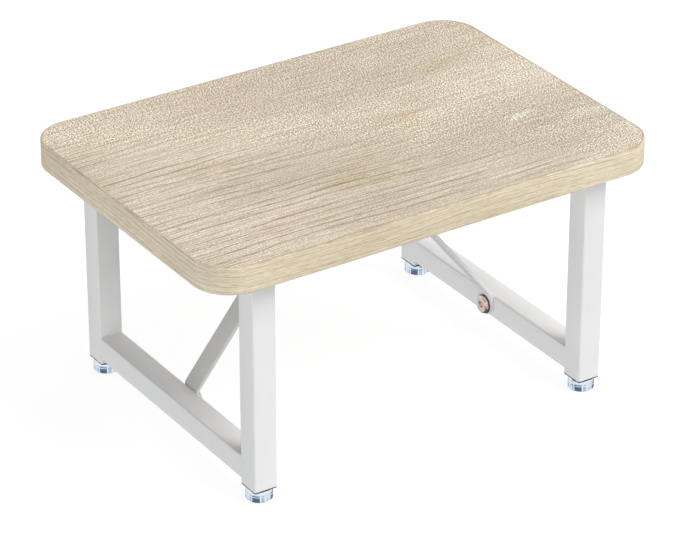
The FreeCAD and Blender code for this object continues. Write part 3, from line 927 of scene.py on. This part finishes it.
@dataclass
class SideFrame:
    """One welded frame: two legs, a low rail and a mitred top rail."""

    side: Side
    wall: float = 1.2 * MM
    corner: float = 1.5 * MM
    corner_facets: int = 5
    bead: float = 0.9 * MM
    bead_ripples: int = 11
    bead_inset: float = 2.0 * MM
    bolt_hole: float = 3.3 * MM
    mitre_lap: float = 0.02 * MM

    def build(self, palette: Palette) -> None:
        """Make the four tubes and the weld beads between them."""
        word = self.side.word
        for end in End:
            leg = f"{end.word}_{word}_leg"
            tube = self.tube(leg, Vector((0, 0, 1)))
            tube.cut(self.mitre(end, leg=True))
            tube.finish("stand", palette, "powder_coat", leg)
        low_rail = f"{word}_low_rail"
        self.tube(low_rail, Vector((0, 1, 0))).finish("stand", palette, "powder_coat",
                                                      low_rail)
        top_rail = f"{word}_top_rail"
        tube = self.tube(top_rail, Vector((0, 1, 0)))
        tube.cut(*(self.mitre(end, leg=False) for end in End), *self.bolt_drills())
        tube.finish("stand", palette, "powder_coat", top_rail)
        self.weld_beads().finish("stand", palette, "powder_coat", smooth=60)

    def tube(self, node: str, run: Vector) -> Workpiece:
        """A hollow square tube as long as a node of the frame.

        Args:
            node: The node that it stands for.
            run: The direction of its length.

        Returns:
            The tube, with square ends.
        """
        low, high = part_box(node)
        outside = Workpiece.block(f"{node}_tube", low, high)
        outside.bevel(lambda _, edge: abs(edge.dot(run)) > ALONG, self.corner, self.corner_facets)
        wall = Vector([0 if axis else self.wall for axis in run])
        past = run * self.wall
        inside = Workpiece.block("inside", low + wall - past, high - wall + past)
        inside.bevel(lambda _, edge: abs(edge.dot(run)) > ALONG, self.corner - self.wall, 2)
        return outside.cut(inside)

    def mitre(self, end: End, leg: bool) -> Workpiece:
        """The cutting block that leaves a leg's top or a top rail's end at 45 degrees.

        Args:
            end: Which end of the frame.
            leg: Whether the leg is cut, and not the rail.

        Returns:
            The cutting block.
        """
        low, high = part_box(f"{end.word}_{self.side.word}_leg")
        size = high.x - low.x
        outer = low.y if end is End.FRONT else high.y
        reach = 3 * size
        block = Workpiece.block("mitre_tool", Vector((-size, -reach, self.mitre_lap)),
                                Vector((size, reach, reach)))
        lean = 45 * end.value
        if not leg:
            lean += 180
        place = Vector(((low.x + high.x) / 2, outer, high.z))
        return block.laid((lean, 0, 0), place)

    def bolt_drills(self) -> list[Workpiece]:
        """Drills for the bolts that hold the board, one behind the other."""
        low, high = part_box(f"{self.side.word}_frame_bolts")
        rail_low, rail_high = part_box(f"{self.side.word}_top_rail")
        x, head = (low.x + high.x) / 2, (high.x - low.x) / 2
        return [round_tool(self.bolt_hole, x, y, rail_low.z - MM, rail_high.z + MM)
                for y in (low.y + head, high.y - head)]

    def weld_beads(self) -> Workpiece:
        """Fillet welds above and below each end of the low rail, and ground ones on its sides."""
        low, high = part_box(f"{self.side.word}_low_rail")
        length = high.x - low.x - 2 * self.bead_inset
        step = length / self.bead_ripples
        outline = [(self.bead * 0.35, 0.0)]
        for ripple in range(self.bead_ripples):
            outline += [(self.bead, step * (ripple + 0.35)), (self.bead, step * (ripple + 0.65)),
                        (self.bead * 0.84, step * (ripple + 1))]
        outline[-1] = (self.bead * 0.35, length)
        beads = []
        for y in (low.y, high.y):
            for z in (low.z, high.z):
                bead = Workpiece.turned(f"{self.side.word}_weld_beads", outline, Vector(), 12)
                beads.append(bead.laid((0, 90, 0), Vector((low.x + self.bead_inset, y, z))))
            for x in (low.x, high.x):
                beads.append(self.ground_weld(x, y, low, high))
        return beads[0].join(*beads[1:])

    def ground_weld(self, x: float, y: float, low: Vector, high: Vector) -> Workpiece:
        """The weld ground flush on one side, filling the hollow along the leg's rounded corner.

        Args:
            x: The rail's side face.
            y: The rail's end.
            low: The rail's lowest corner.
            high: The rail's highest corner.

        Returns:
            The weld.
        """
        inwards = self.corner if x == low.x else -self.corner
        leg = self.corner if y == high.y else -self.corner
        ends = ((x, x + inwards), (y, y + leg))
        corners = [[pick(pair) for pair in ends] for pick in (min, max)]
        weld = Workpiece.block("ground_weld", Vector((*corners[0], low.z)),
                               Vector((*corners[1], high.z)))
        return weld.bevel(lambda middle, run: abs(run.y) > ALONG and abs(middle.x - x) < TINY,
                          self.corner * 0.9, 4)


@dataclass
class LegPlug:
    """The ribbed plastic plug in a leg's end."""

    end: End
    side: Side
    corner: float = 1.5 * MM
    flange_edge: float = 0.15 * MM
    body_inset: float = 1.7 * MM
    rib_stand: float = 0.4 * MM
    rib_height: float = 1.6 * MM
    rib_count: int = 3
    flange: float = 1.0 * MM
    hole: float = 4.4 * MM
    nut_gap: float = 0.1 * MM

    def build(self, palette: Palette) -> None:
        """Make the plug."""
        stem = f"{self.end.word}_{self.side.word}"
        low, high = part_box(f"{stem}_plug")
        centre = (low + high) / 2
        plug = Workpiece.block(f"{stem}_leg_plug", low, Vector((high.x, high.y,
                                                               low.z + self.flange)))
        plug.bevel(lambda _, run: abs(run.z) > ALONG, self.corner, 5)
        self.grow_body(plug, low, high, centre)
        plug.soften(self.flange_edge)
        nut_low, nut_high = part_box(f"{stem}_nut")
        flats = nut_high.x - nut_low.x + 2 * self.nut_gap
        pocket = hexagon_tool(flats, nut_low.z, high.z + MM)
        pocket.laid((0, 0, 0), Vector((centre.x, centre.y, 0)))
        drill = round_tool(self.hole, centre.x, centre.y, low.z - MM, high.z + MM)
        plug.cut(pocket, drill)
        plug.finish("stand", palette, "black_plastic", f"{stem}_plug")

    def grow_body(self, plug: Workpiece, low: Vector, high: Vector, centre: Vector) -> None:
        """Draw the body up out of the flange, rib by rib."""
        width = high.x - low.x
        slim = width - 2 * self.body_inset
        wide = slim + 2 * self.rib_stand
        body = high.z - low.z - self.flange
        pitch = body / self.rib_count
        steps = [(width, 0.0), (slim, 0.0)]
        for index in range(self.rib_count):
            start = pitch * (index + 0.5) - self.rib_height / 2
            steps += [(slim, start), (wide, start), (wide, start + self.rib_height),
                      (slim, start + self.rib_height)]
        steps.append((slim, body))
        with plug.editing():
            plug.pick(Pick.FACES, lambda _, normal: normal.z > ALONG)
            plug.draw_up(Vector((centre.x, centre.y, low.z + self.flange)), steps)


@dataclass
class LevellingFoot:
    """A chromed cap on a threaded stem, with a pad that turns freely under it."""

    end: End
    side: Side
    edge_height: float = 5.0 * MM
    crease: float = 0.8 * MM
    crease_depth: float = 0.35 * MM
    shoulder: float = 5.2 * MM
    skirt_wall: float = 0.7 * MM
    ceiling: float = 1.6 * MM
    peg_bore: float = 3.1 * MM
    barb_bore: float = 3.5 * MM
    barb_ledge: float = 2.9 * MM
    bore_top: float = 3.7 * MM
    chamfer: float = 0.3 * MM
    pitch: float = 1.25 * MM
    thread_depth: float = 0.62 * MM
    thread_start: float = 5.0 * MM
    thread_neck: float = 5.6 * MM
    thread_root_share: float = 0.86
    thread_crest_share: float = 0.16
    thread_sink: float = 0.05 * MM
    pad_groove: float = 0.3 * MM
    pad_rings: int = 4
    pad_top: float = 1.5 * MM
    peg: float = 3.05 * MM
    barb: float = 3.4 * MM
    barb_bottom: float = 3.0 * MM

    def build(self, palette: Palette) -> None:
        """Make the cap, the stem and the pad."""
        stem = f"{self.end.word}_{self.side.word}"
        low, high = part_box(f"{stem}_foot_cap")
        centre = Vector(((low.x + high.x) / 2, (low.y + high.y) / 2, 0))
        cap = Workpiece.turned(f"{stem}_foot_cap_shell",
                               self.cap_outline(low, high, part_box(f"{stem}_foot_stem")), centre, 96)
        cap.finish(f"{stem}_screw", palette, "foot_chrome", f"{stem}_foot_cap", smooth=25)
        rod_low, rod_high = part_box(f"{stem}_foot_stem")
        rod = self.threaded_rod(f"{stem}_threaded_stem", centre, rod_low, rod_high)
        rod.finish(f"{stem}_screw", palette, "zinc_plate", f"{stem}_foot_stem", smooth=50)
        pad_low, pad_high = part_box(f"{stem}_foot_pad")
        pad = Workpiece.turned(f"{stem}_glide_pad", self.pad_outline(pad_low, pad_high), centre, 72)
        pad.finish(f"{stem}_pad", palette, "pad_plastic", f"{stem}_foot_pad")

    def cap_outline(self, low: Vector, high: Vector, stem: tuple[Vector, Vector]) -> Outline:
        """The cap's outline, from the ceiling of its peg bore round to the stem's seat."""
        radius = (high.x - low.x) / 2
        top, bottom = high.z, low.z
        inside = radius - self.skirt_wall
        seat = (stem[1].x - stem[0].x) / 2 + 0.03 * MM
        start = self.edge_height + self.crease * 0.9
        rise = math.degrees(math.asin((top - start) / self.shoulder))
        round_over = arc((radius - self.shoulder, start), self.shoulder, 0, rise, 12)
        lip = round_over[-1][0]
        return [
            (self.barb_bore, self.bore_top), (self.barb_bore, self.barb_ledge),
            (self.peg_bore, self.barb_ledge), (self.peg_bore, self.ceiling),
            (inside, self.ceiling), (inside, bottom),
            (radius - self.chamfer, bottom), (radius, bottom + self.chamfer),
            (radius, self.edge_height - 0.1 * MM), (radius - 0.05 * MM, self.edge_height),
            (radius - self.crease_depth, self.edge_height + self.crease * 0.35),
            (radius - self.crease_depth, self.edge_height + self.crease * 0.65),
            *round_over,
            (lip - 0.3 * MM, top), (seat + 0.4 * MM, top), (seat, top - 0.4 * MM),
            (seat, stem[0].z),
        ]

    def pad_outline(self, low: Vector, high: Vector) -> Outline:
        """The pad's outline: grooved underside, disc, peg and barb."""
        radius = (high.x - low.x) / 2
        ring = (radius - 0.6 * MM) / (self.pad_rings + 0.5)
        outline = [(ring * 0.5, low.z)]
        for index in range(self.pad_rings):
            inner = ring * (index + 0.5)
            outline += [(inner + 0.05 * MM, low.z), (inner + 0.25 * MM, low.z + self.pad_groove),
                        (inner + 0.65 * MM, low.z + self.pad_groove), (inner + 0.85 * MM, low.z)]
        outline += [(radius - 0.4 * MM, low.z), (radius, low.z + 0.4 * MM),
                    (radius, self.pad_top - 0.1 * MM), (radius - 0.1 * MM, self.pad_top),
                    (self.peg, self.pad_top), (self.peg, self.barb_bottom),
                    (self.barb, self.barb_bottom), (self.barb, self.barb_bottom + 0.2 * MM),
                    (self.peg - 0.35 * MM, high.z)]
        return outline

    def threaded_rod(self, name: str, centre: Vector, low: Vector, high: Vector) -> Workpiece:
        """A stem with a real helical thread.

        Args:
            name: The piece's name.
            centre: The axis, on the floor.
            low: The lowest corner of the stem.
            high: The highest corner of the stem.

        Returns:
            The stem.
        """
        crest = (high.x - low.x) / 2
        root = crest - self.thread_depth
        core = Workpiece.turned(name, [
            (crest - 0.2 * MM, low.z), (crest, low.z + 0.2 * MM),
            (crest, low.z + self.thread_start),
            (root, low.z + self.thread_neck), (root, high.z - 0.5 * MM), (root - 0.5 * MM, high.z),
        ], centre, 48)
        start = low.z + self.thread_start
        turns = int((high.z - 1.0 * MM - start) / self.pitch) - 1
        clear_selection()
        bpy.ops.mesh.primitive_plane_add(size=1, location=(crest - self.thread_depth / 2
                                                           - self.thread_sink,
                                                           0, start + self.pitch / 2),
                                         rotation=(math.pi / 2, 0, 0))
        ridge = Workpiece("ridge")
        with ridge.editing():
            bpy.ops.mesh.select_all(action="SELECT")
            bpy.ops.transform.resize(value=(self.thread_depth + 0.1 * MM, 1,
                                            self.pitch * self.thread_root_share))
            ridge.pick(Pick.EDGES, lambda middle, run: abs(run.z) > ALONG
                       and middle.x > crest - 0.1 * MM)
            bpy.ops.transform.resize(value=(1, 1, self.thread_crest_share))
            ridge.pick(Pick.FACES, lambda _, normal: True)
            bpy.ops.mesh.delete(type="ONLY_FACE")
        ridge.modify("SCREW", axis="Z", screw_offset=self.pitch, iterations=turns, steps=32,
                     render_steps=32, angle=2 * math.pi, use_smooth_shade=True)
        with ridge.editing():
            bpy.ops.mesh.select_all(action="SELECT")
            bpy.ops.mesh.fill_holes(sides=8)
            ridge.turn_faces_out()
        ridge.laid((0, 0, 0), centre)
        return core.join(ridge)


@dataclass
class SocketBolt:
    """A connector bolt: flat head with a chamfered rim, a hexagonal socket and a plain shank."""

    head: float
    thickness: float
    shank: float
    socket: float = 5.0 * MM
    depth: float = 2.0 * MM
    radius: float = 3.0 * MM
    rim: float = 0.8 * MM
    mouth_flare: float = 0.45 * MM
    shank_chamfer: float = 0.6 * MM

    def make(self, name: str) -> Workpiece:
        """Make the bolt along +Z, with the underside of its head at the origin."""
        top = -self.thickness
        rim_in, rim_out = self.head - self.rim, self.head
        mouth = self.socket / math.sqrt(3) + 0.35 * MM
        bolt = Workpiece.turned(name, [
            (mouth - self.mouth_flare, top + self.mouth_flare), (mouth, top + 0.02 * MM),
            (mouth + 0.1 * MM, top),
            (rim_in - 0.1 * MM, top), (rim_in + 0.05 * MM, top + 0.05 * MM),
            (rim_out - 0.08 * MM, top + self.rim - 0.08 * MM), (rim_out, top + self.rim + 0.08 * MM),
            (rim_out, -0.2 * MM), (rim_out - 0.2 * MM, 0), (self.radius, 0),
            (self.radius, self.shank - self.shank_chamfer),
            (self.radius - self.shank_chamfer, self.shank),
        ], Vector(), 72)
        return bolt.cut(hexagon_tool(self.socket, top - MM, top + self.depth)).weld_slivers()


@dataclass
class Brace:
    """The bent strip with its bolts, washers and wood screws."""

    bend: float = 5.25 * MM
    bend_steps: int = 10
    rise: float = 1.2 * MM
    flat: float = 32.0 * MM
    thickness: float = 2.5 * MM
    edge: float = 0.35 * MM
    bolt_hole: float = 3.3 * MM
    screw_hole: float = 2.1 * MM
    washer_edge: float = 0.15 * MM
    screw_head: float = 3.8 * MM
    screw_shank: float = 1.9 * MM
    screw_rise: float = 2.2 * MM
    screw_dome: float = 1.4 * MM
    screw_rings: int = 9
    screw_neck: float = 2.4 * MM
    screw_root: float = 0.72
    slot: tuple[float, float] = (2.2, 0.45)
    slot_depth: float = 1.3 * MM
    drill_reach: float = 5 * MM
    tab_facets: int = 16

    def build(self, palette: Palette) -> None:
        """Make the strip and its fasteners."""
        self.make_strip().finish("stand", palette, "powder_coat", "brace_strip")
        for side in Side:
            self.make_washer(side).finish("stand", palette, "black_plastic",
                                          f"{side.word}_brace_washer")
            self.make_bolt(side).finish("stand", palette, "copper_plate",
                                        f"{side.word}_brace_bolt")
        self.make_screws().finish("stand", palette, "zinc_plate", "brace_screws")

    def make_strip(self) -> Workpiece:
        """Bend half the strip up from its left tab, then mirror it."""
        low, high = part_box("brace_strip")
        half = self.thickness / 2
        width = high.y
        rail_low, rail_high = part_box("left_low_rail")
        foot = Vector((low.x + half, 0, rail_high.z + self.rise))
        top = Vector((-self.flat / 2, 0, high.z - half))
        slope = math.atan2(top.z - foot.z, top.x - foot.x)
        turn = math.pi / 2 - slope
        lower_back = self.bend * math.tan(turn / 2)
        upper_back = self.bend * math.tan(slope / 2)
        along = Vector((math.cos(slope), 0, math.sin(slope)))
        strip = Workpiece.block("brace_bent_strip", Vector((low.x, -width, low.z)),
                                Vector((low.x + self.thickness, width, foot.z - lower_back)))
        with strip.editing():
            strip.pick(Pick.FACES, lambda _, normal: normal.z > ALONG)
            bpy.ops.mesh.spin(steps=self.bend_steps, angle=-turn, axis=(0, 1, 0),
                              center=(foot.x + self.bend, 0, foot.z - lower_back))
            run = along * ((top - foot).length - lower_back - upper_back)
            bpy.ops.mesh.extrude_region_move(TRANSFORM_OT_translate={"value": run})
            bend_start = top - along * upper_back
            centre = bend_start + Vector((math.sin(slope), 0, -math.cos(slope))) * self.bend
            bpy.ops.mesh.spin(steps=self.bend_steps, angle=-slope, axis=(0, 1, 0), center=centre)
            rest = (-(top.x + upper_back), 0, 0)
            bpy.ops.mesh.extrude_region_move(TRANSFORM_OT_translate={"value": rest})
            bpy.ops.mesh.delete(type="FACE")
        round_end = width - 2 * TINY
        strip.bevel(lambda middle, run: abs(run.x) > ALONG and middle.z < low.z + TINY, round_end,
                    self.tab_facets)
        strip.modify("MIRROR", use_axis=(True, False, False), use_clip=True, merge_threshold=1e-5)
        strip.cut(*self.drills(rail_low, rail_high, low, high))
        return strip.soften(self.edge)

    def drills(self, rail_low: Vector, rail_high: Vector, low: Vector,
               high: Vector) -> list[Workpiece]:
        """Drills for the two bolts and the two wood screws."""
        height = (rail_low.z + rail_high.z) / 2
        tools = []
        for side in Side:
            drill = round_tool(self.bolt_hole, 0, 0, -self.drill_reach, self.drill_reach)
            tools.append(drill.laid((0, 90, 0), Vector((side.value * high.x, 0, height))))
        screws_low, screws_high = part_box("brace_screws")
        for x in (screws_low.x + self.screw_head, screws_high.x - self.screw_head):
            tools.append(round_tool(self.screw_hole, x, 0, high.z - self.drill_reach,
                                    high.z + self.drill_reach))
        return tools

    def make_bolt(self, side: Side) -> Workpiece:
        """The rose-coloured bolt on one side."""
        low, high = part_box(f"{side.word}_brace_bolt")
        washer_low, washer_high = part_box(f"{side.word}_brace_washer")
        head = (high.y - low.y) / 2
        seat = washer_high.x if side is Side.LEFT else washer_low.x
        outer = high.x if side is Side.LEFT else low.x
        thickness = abs(outer - seat)
        bolt = SocketBolt(head, thickness, high.x - low.x - thickness).make(
            f"{side.word}_connector_bolt")
        return bolt.laid((0, 90 * side.value, 0), Vector((seat, 0, (low.z + high.z) / 2)))

    def make_washer(self, side: Side) -> Workpiece:
        """The dark washer under the bolt's head."""
        low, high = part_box(f"{side.word}_brace_washer")
        radius, depth = (high.y - low.y) / 2, high.x - low.x
        edge = self.washer_edge
        disc = Workpiece.turned(f"{side.word}_bolt_washer", [
            (radius - edge, 0), (radius, edge), (radius, depth - edge), (radius - edge, depth),
        ], Vector(), 72)
        disc.cut(round_tool(self.bolt_hole, 0, 0, -MM, depth + MM))
        return disc.laid((0, 90, 0), Vector((low.x, 0, (low.z + high.z) / 2)))

    def make_screws(self) -> Workpiece:
        """The two pan-head wood screws, with crossed slots and rings in place of a thread."""
        low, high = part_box("brace_screws")
        rise = self.screw_rise
        dome = arc((self.screw_head - self.screw_dome, -rise + self.screw_dome), self.screw_dome,
                   -90, 0, 6)
        length = high.z - low.z - rise
        root = self.screw_shank * self.screw_root
        rings = []
        pitch = (length - 4.0 * MM) / self.screw_rings
        for index in range(self.screw_rings):
            base = 2.6 * MM + pitch * index
            rings += [(root, base), (self.screw_shank, base + pitch * 0.3),
                      (root, base + pitch * 0.6)]
        outline = [*dome, (self.screw_head, 0), (self.screw_shank, 0),
                   (self.screw_shank, self.screw_neck), *rings,
                   (self.screw_shank * 0.6, length - MM),
                   (0.15 * MM, length)]
        screw = Workpiece.turned("brace_wood_screws", outline, Vector(), 40)
        for size in (self.slot, self.slot[::-1]):
            corner = Vector((*size, 1)) * MM
            screw.cut(Workpiece.block("slot_tool", Vector((-corner.x, -corner.y, -rise - MM)),
                                      Vector((corner.x, corner.y, -rise + self.slot_depth))))
        places = [Vector((x, 0, low.z + rise)) for x in (low.x + self.screw_head,
                                                         high.x - self.screw_head)]
        twin = screw.copied("second_screw", places[1])
        screw.laid((0, 0, 0), places[0])
        return screw.join(twin)


@dataclass
class FrameBolts:
    """The bolts that hold the board to one top rail."""

    side: Side
    thickness: float = 2.6 * MM
    socket: float = 4.0 * MM

    def build(self, palette: Palette) -> None:
        """Make the front bolt and copy it to the rear."""
        node = f"{self.side.word}_frame_bolts"
        low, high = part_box(node)
        head = (high.x - low.x) / 2
        bolt = SocketBolt(head, self.thickness, high.z - low.z - self.thickness,
                          socket=self.socket).make(f"{self.side.word}_board_bolts")
        x, z = low.x + head, low.z + self.thickness
        rear = bolt.copied("rear_bolt", Vector((x, high.y - head, z)))
        bolt.laid((0, 0, 0), Vector((x, low.y + head, z)))
        bolt.join(rear).finish("stand", palette, "zinc_plate", node)


def dress_inner_pieces(palette: Palette) -> None:
    """Give every node of the frame that is still shown the finish of its slot."""
    slots = {row["node"]: row["material_slot"] for row in frame["record"]["subparts"]}
    for name, node in frame["nodes"].items():
        if node.hide_render:
            continue
        for place in node.material_slots:
            place.material = palette[slots[name]]
        LOG.info("%s: dressed as %s", name, slots[name])


# --------------------------------------------------------------------------- the studio


class Glow(NamedTuple):
    """A soft glow on one side of the surround.

    Attributes:
        strength: How bright it is at its middle.
        height: The upward share of the direction that it lies in.
        reach: How far above and below that it fades out.
    """

    strength: float
    height: float
    reach: float


@dataclass
class Studio:
    """Pale floor, soft light, a surround with a ring of cards for gloss, and the camera."""

    azimuth: float = -33.15
    elevation: float = 28.5
    distance: float = 2.725
    lens: float = 184.8
    aim: tuple[float, float, float] = (-0.003, 0.0, 0.098)
    sky: float = 0.66
    ground: float = 0.30
    front_glow: Glow = Glow(0.86, 0.30, 0.65)
    left_glow: Glow = Glow(3.3, -0.52, 0.45)
    right_glow: Glow = Glow(1.5, 0.26, 0.38)
    cards: tuple[tuple[float, float, Rgb], ...] = (
        (-60, 34, (0.10, 0.17, 0.27)), (-20, 5, (1.0, 1.0, 1.0)), (102, 30, (0.16, 0.26, 0.44)),
        (-175, 9, (0.20, 0.30, 0.46)), (150, 6, (1.0, 1.0, 1.0)))
    sun_strength: float = 1.66
    sun_azimuth: float = 38
    sun_elevation: float = 52
    bands: tuple[tuple[tuple[float, float, float, float], Rgb], ...] = (
        ((-0.40, -0.10, 0, 1), (0.80, 0.88, 0.96)), ((0.05, 0.45, 0, 1), (0.97, 0.98, 1.0)),
        ((-0.70, -0.60, 1, 0), (0.09, 0.10, 0.13)))
    card_rim: float = 3
    sun_spread: float = 30
    sun_distance: float = 3
    floor_glow: float = 0.86
    floor_size: float = 14
    sensor: float = 36
    clip: float = 0.01

    def set_up(self) -> None:
        """Build everything that isn't the object."""
        bpy.context.scene.view_settings.view_transform = "Standard"
        self.make_floor()
        self.make_surround()
        self.add_sun()
        self.add_camera()

    def make_floor(self) -> None:
        """A large pale light table, which the piece's own shading isn't tinted by."""
        clear_selection()
        bpy.ops.mesh.primitive_plane_add(size=self.floor_size)
        floor = bpy.context.object
        floor.name = "studio_floor"
        mix = Recipe("floor_paper")
        tooth = mix.noise(mix.place(), (300, 300, 1), detail=2)
        mix.bump(tooth, 0.00002)
        floor.data.materials.append(mix.paint(
            Base_Color=(0.24, 0.24, 0.24), Roughness=0.9, Specular_IOR_Level=0.0,
            Emission_Color=(1.0, 1.0, 1.0), Emission_Strength=self.floor_glow))
        floor.visible_glossy = False
        floor.visible_diffuse = False

    def make_surround(self) -> None:
        """Soft light from above and three sides, and bands and cards that only gloss picks up."""
        world = bpy.data.worlds.new("studio_surround")
        bpy.context.scene.world = world
        mix = Wiring(world)
        direction = mix.node("ShaderNodeTexCoord").outputs["Generated"]
        x, y, z = mix.parts(direction)
        sky = mix.times(mix.spread(z, -0.25, 0.35, 0, self.sky - self.ground),
                        mix.spread(x, -0.8, 0.2, 0.25, 1))
        level = mix.plus(sky, self.ground)
        rightwards = mix.times(x, -1.0)
        for run, glow in ((y, self.front_glow), (x, self.left_glow),
                          (rightwards, self.right_glow)):
            away = mix.maths("ABSOLUTE", mix.minus(z, glow.height))
            lobe = mix.times(mix.spread(run, -0.85, -0.2, glow.strength, 0),
                             mix.spread(away, 0.1, glow.reach, 1, 0))
            level = mix.plus(level, lobe)
        soft = mix.node("ShaderNodeBackground")
        mix.feed(soft.inputs["Strength"], level)

        colour = self.card_ring(mix, x, y)
        for span, tint in self.bands:
            colour = mix.blend(mix.spread(z, *span), colour, tint)
        mirrored = mix.node("ShaderNodeBackground")
        mix.feed(mirrored.inputs["Color"], colour)

        chosen = mix.node("ShaderNodeMixShader")
        mix.feed(chosen.inputs[0], mix.node("ShaderNodeLightPath").outputs["Is Glossy Ray"])
        mix.feed(chosen.inputs[1], soft.outputs[0])
        mix.feed(chosen.inputs[2], mirrored.outputs[0])
        mix.feed(mix.tree.nodes["World Output"].inputs["Surface"], chosen.outputs[0])

    def card_ring(self, mix: Wiring, x: Socket, y: Socket) -> Socket:
        """Upright cards standing all round the stand.

        Args:
            mix: The surround being wired.
            x: First part of the direction looked along.
            y: Second part of it.

        Returns:
            The colour met in that direction.
        """
        ring = mix.node("ShaderNodeVectorMath", operation="NORMALIZE")
        mix.feed(ring.inputs[0], mix.point(x, y, 0.0))
        haze = mix.noise(ring.outputs["Vector"], detail=2, scale=2.6)
        colour = mix.blend(mix.spread(haze, 0.42, 0.58), (0.48, 0.58, 0.70), (0.86, 0.91, 0.96))
        for azimuth, half, card in self.cards:
            facing = mix.node("ShaderNodeVectorMath", operation="DOT_PRODUCT")
            mix.feed(facing.inputs[0], ring.outputs["Vector"])
            mix.feed(facing.inputs[1], tuple(self.heading(azimuth, 0)))
            edge = math.cos(math.radians(half))
            rim = math.cos(math.radians(half - self.card_rim))
            colour = mix.blend(mix.spread(facing.outputs["Value"], edge, rim), colour, card)
        return colour

    def heading(self, azimuth: float, elevation: float) -> Vector:
        """The direction from the stand towards a place round it, angles in degrees."""
        turn, lift = math.radians(azimuth), math.radians(elevation)
        return Vector((math.sin(turn) * math.cos(lift), -math.cos(turn) * math.cos(lift),
                       math.sin(lift)))

    def add_sun(self) -> None:
        """Add the one broad soft light."""
        back = self.heading(self.sun_azimuth, self.sun_elevation)
        clear_selection()
        bpy.ops.object.light_add(type="SUN", location=back * self.sun_distance)
        light = bpy.context.object
        light.name = "studio_key"
        light.data.energy = self.sun_strength
        light.data.angle = math.radians(self.sun_spread)
        light.visible_glossy = False
        light.rotation_euler = (-back).to_track_quat("-Z", "Y").to_euler()

    def add_camera(self) -> None:
        """Add the camera at its angle round the stand."""
        back = self.heading(self.azimuth, self.elevation)
        clear_selection()
        bpy.ops.object.camera_add(location=Vector(self.aim) + back * self.distance)
        camera = bpy.context.object
        camera.name = "studio_camera"
        camera.data.lens = self.lens
        camera.data.sensor_width = self.sensor
        camera.data.clip_start = self.clip
        camera.rotation_euler = (-back).to_track_quat("-Z", "Y").to_euler()
        bpy.context.scene.camera = camera


def main() -> None:
    """Build the stand and its studio."""
    logging.basicConfig(level=logging.INFO, format="%(message)s")
    palette = mix_palette()
    Tabletop().build(palette)
    for side in Side:
        SideFrame(side).build(palette)
        FrameBolts(side).build(palette)
        for end in End:
            LegPlug(end, side).build(palette)
            LevellingFoot(end, side).build(palette)
    Brace().build(palette)
    dress_inner_pieces(palette)
    Studio().set_up()


if __name__ == "__main__":
    main()
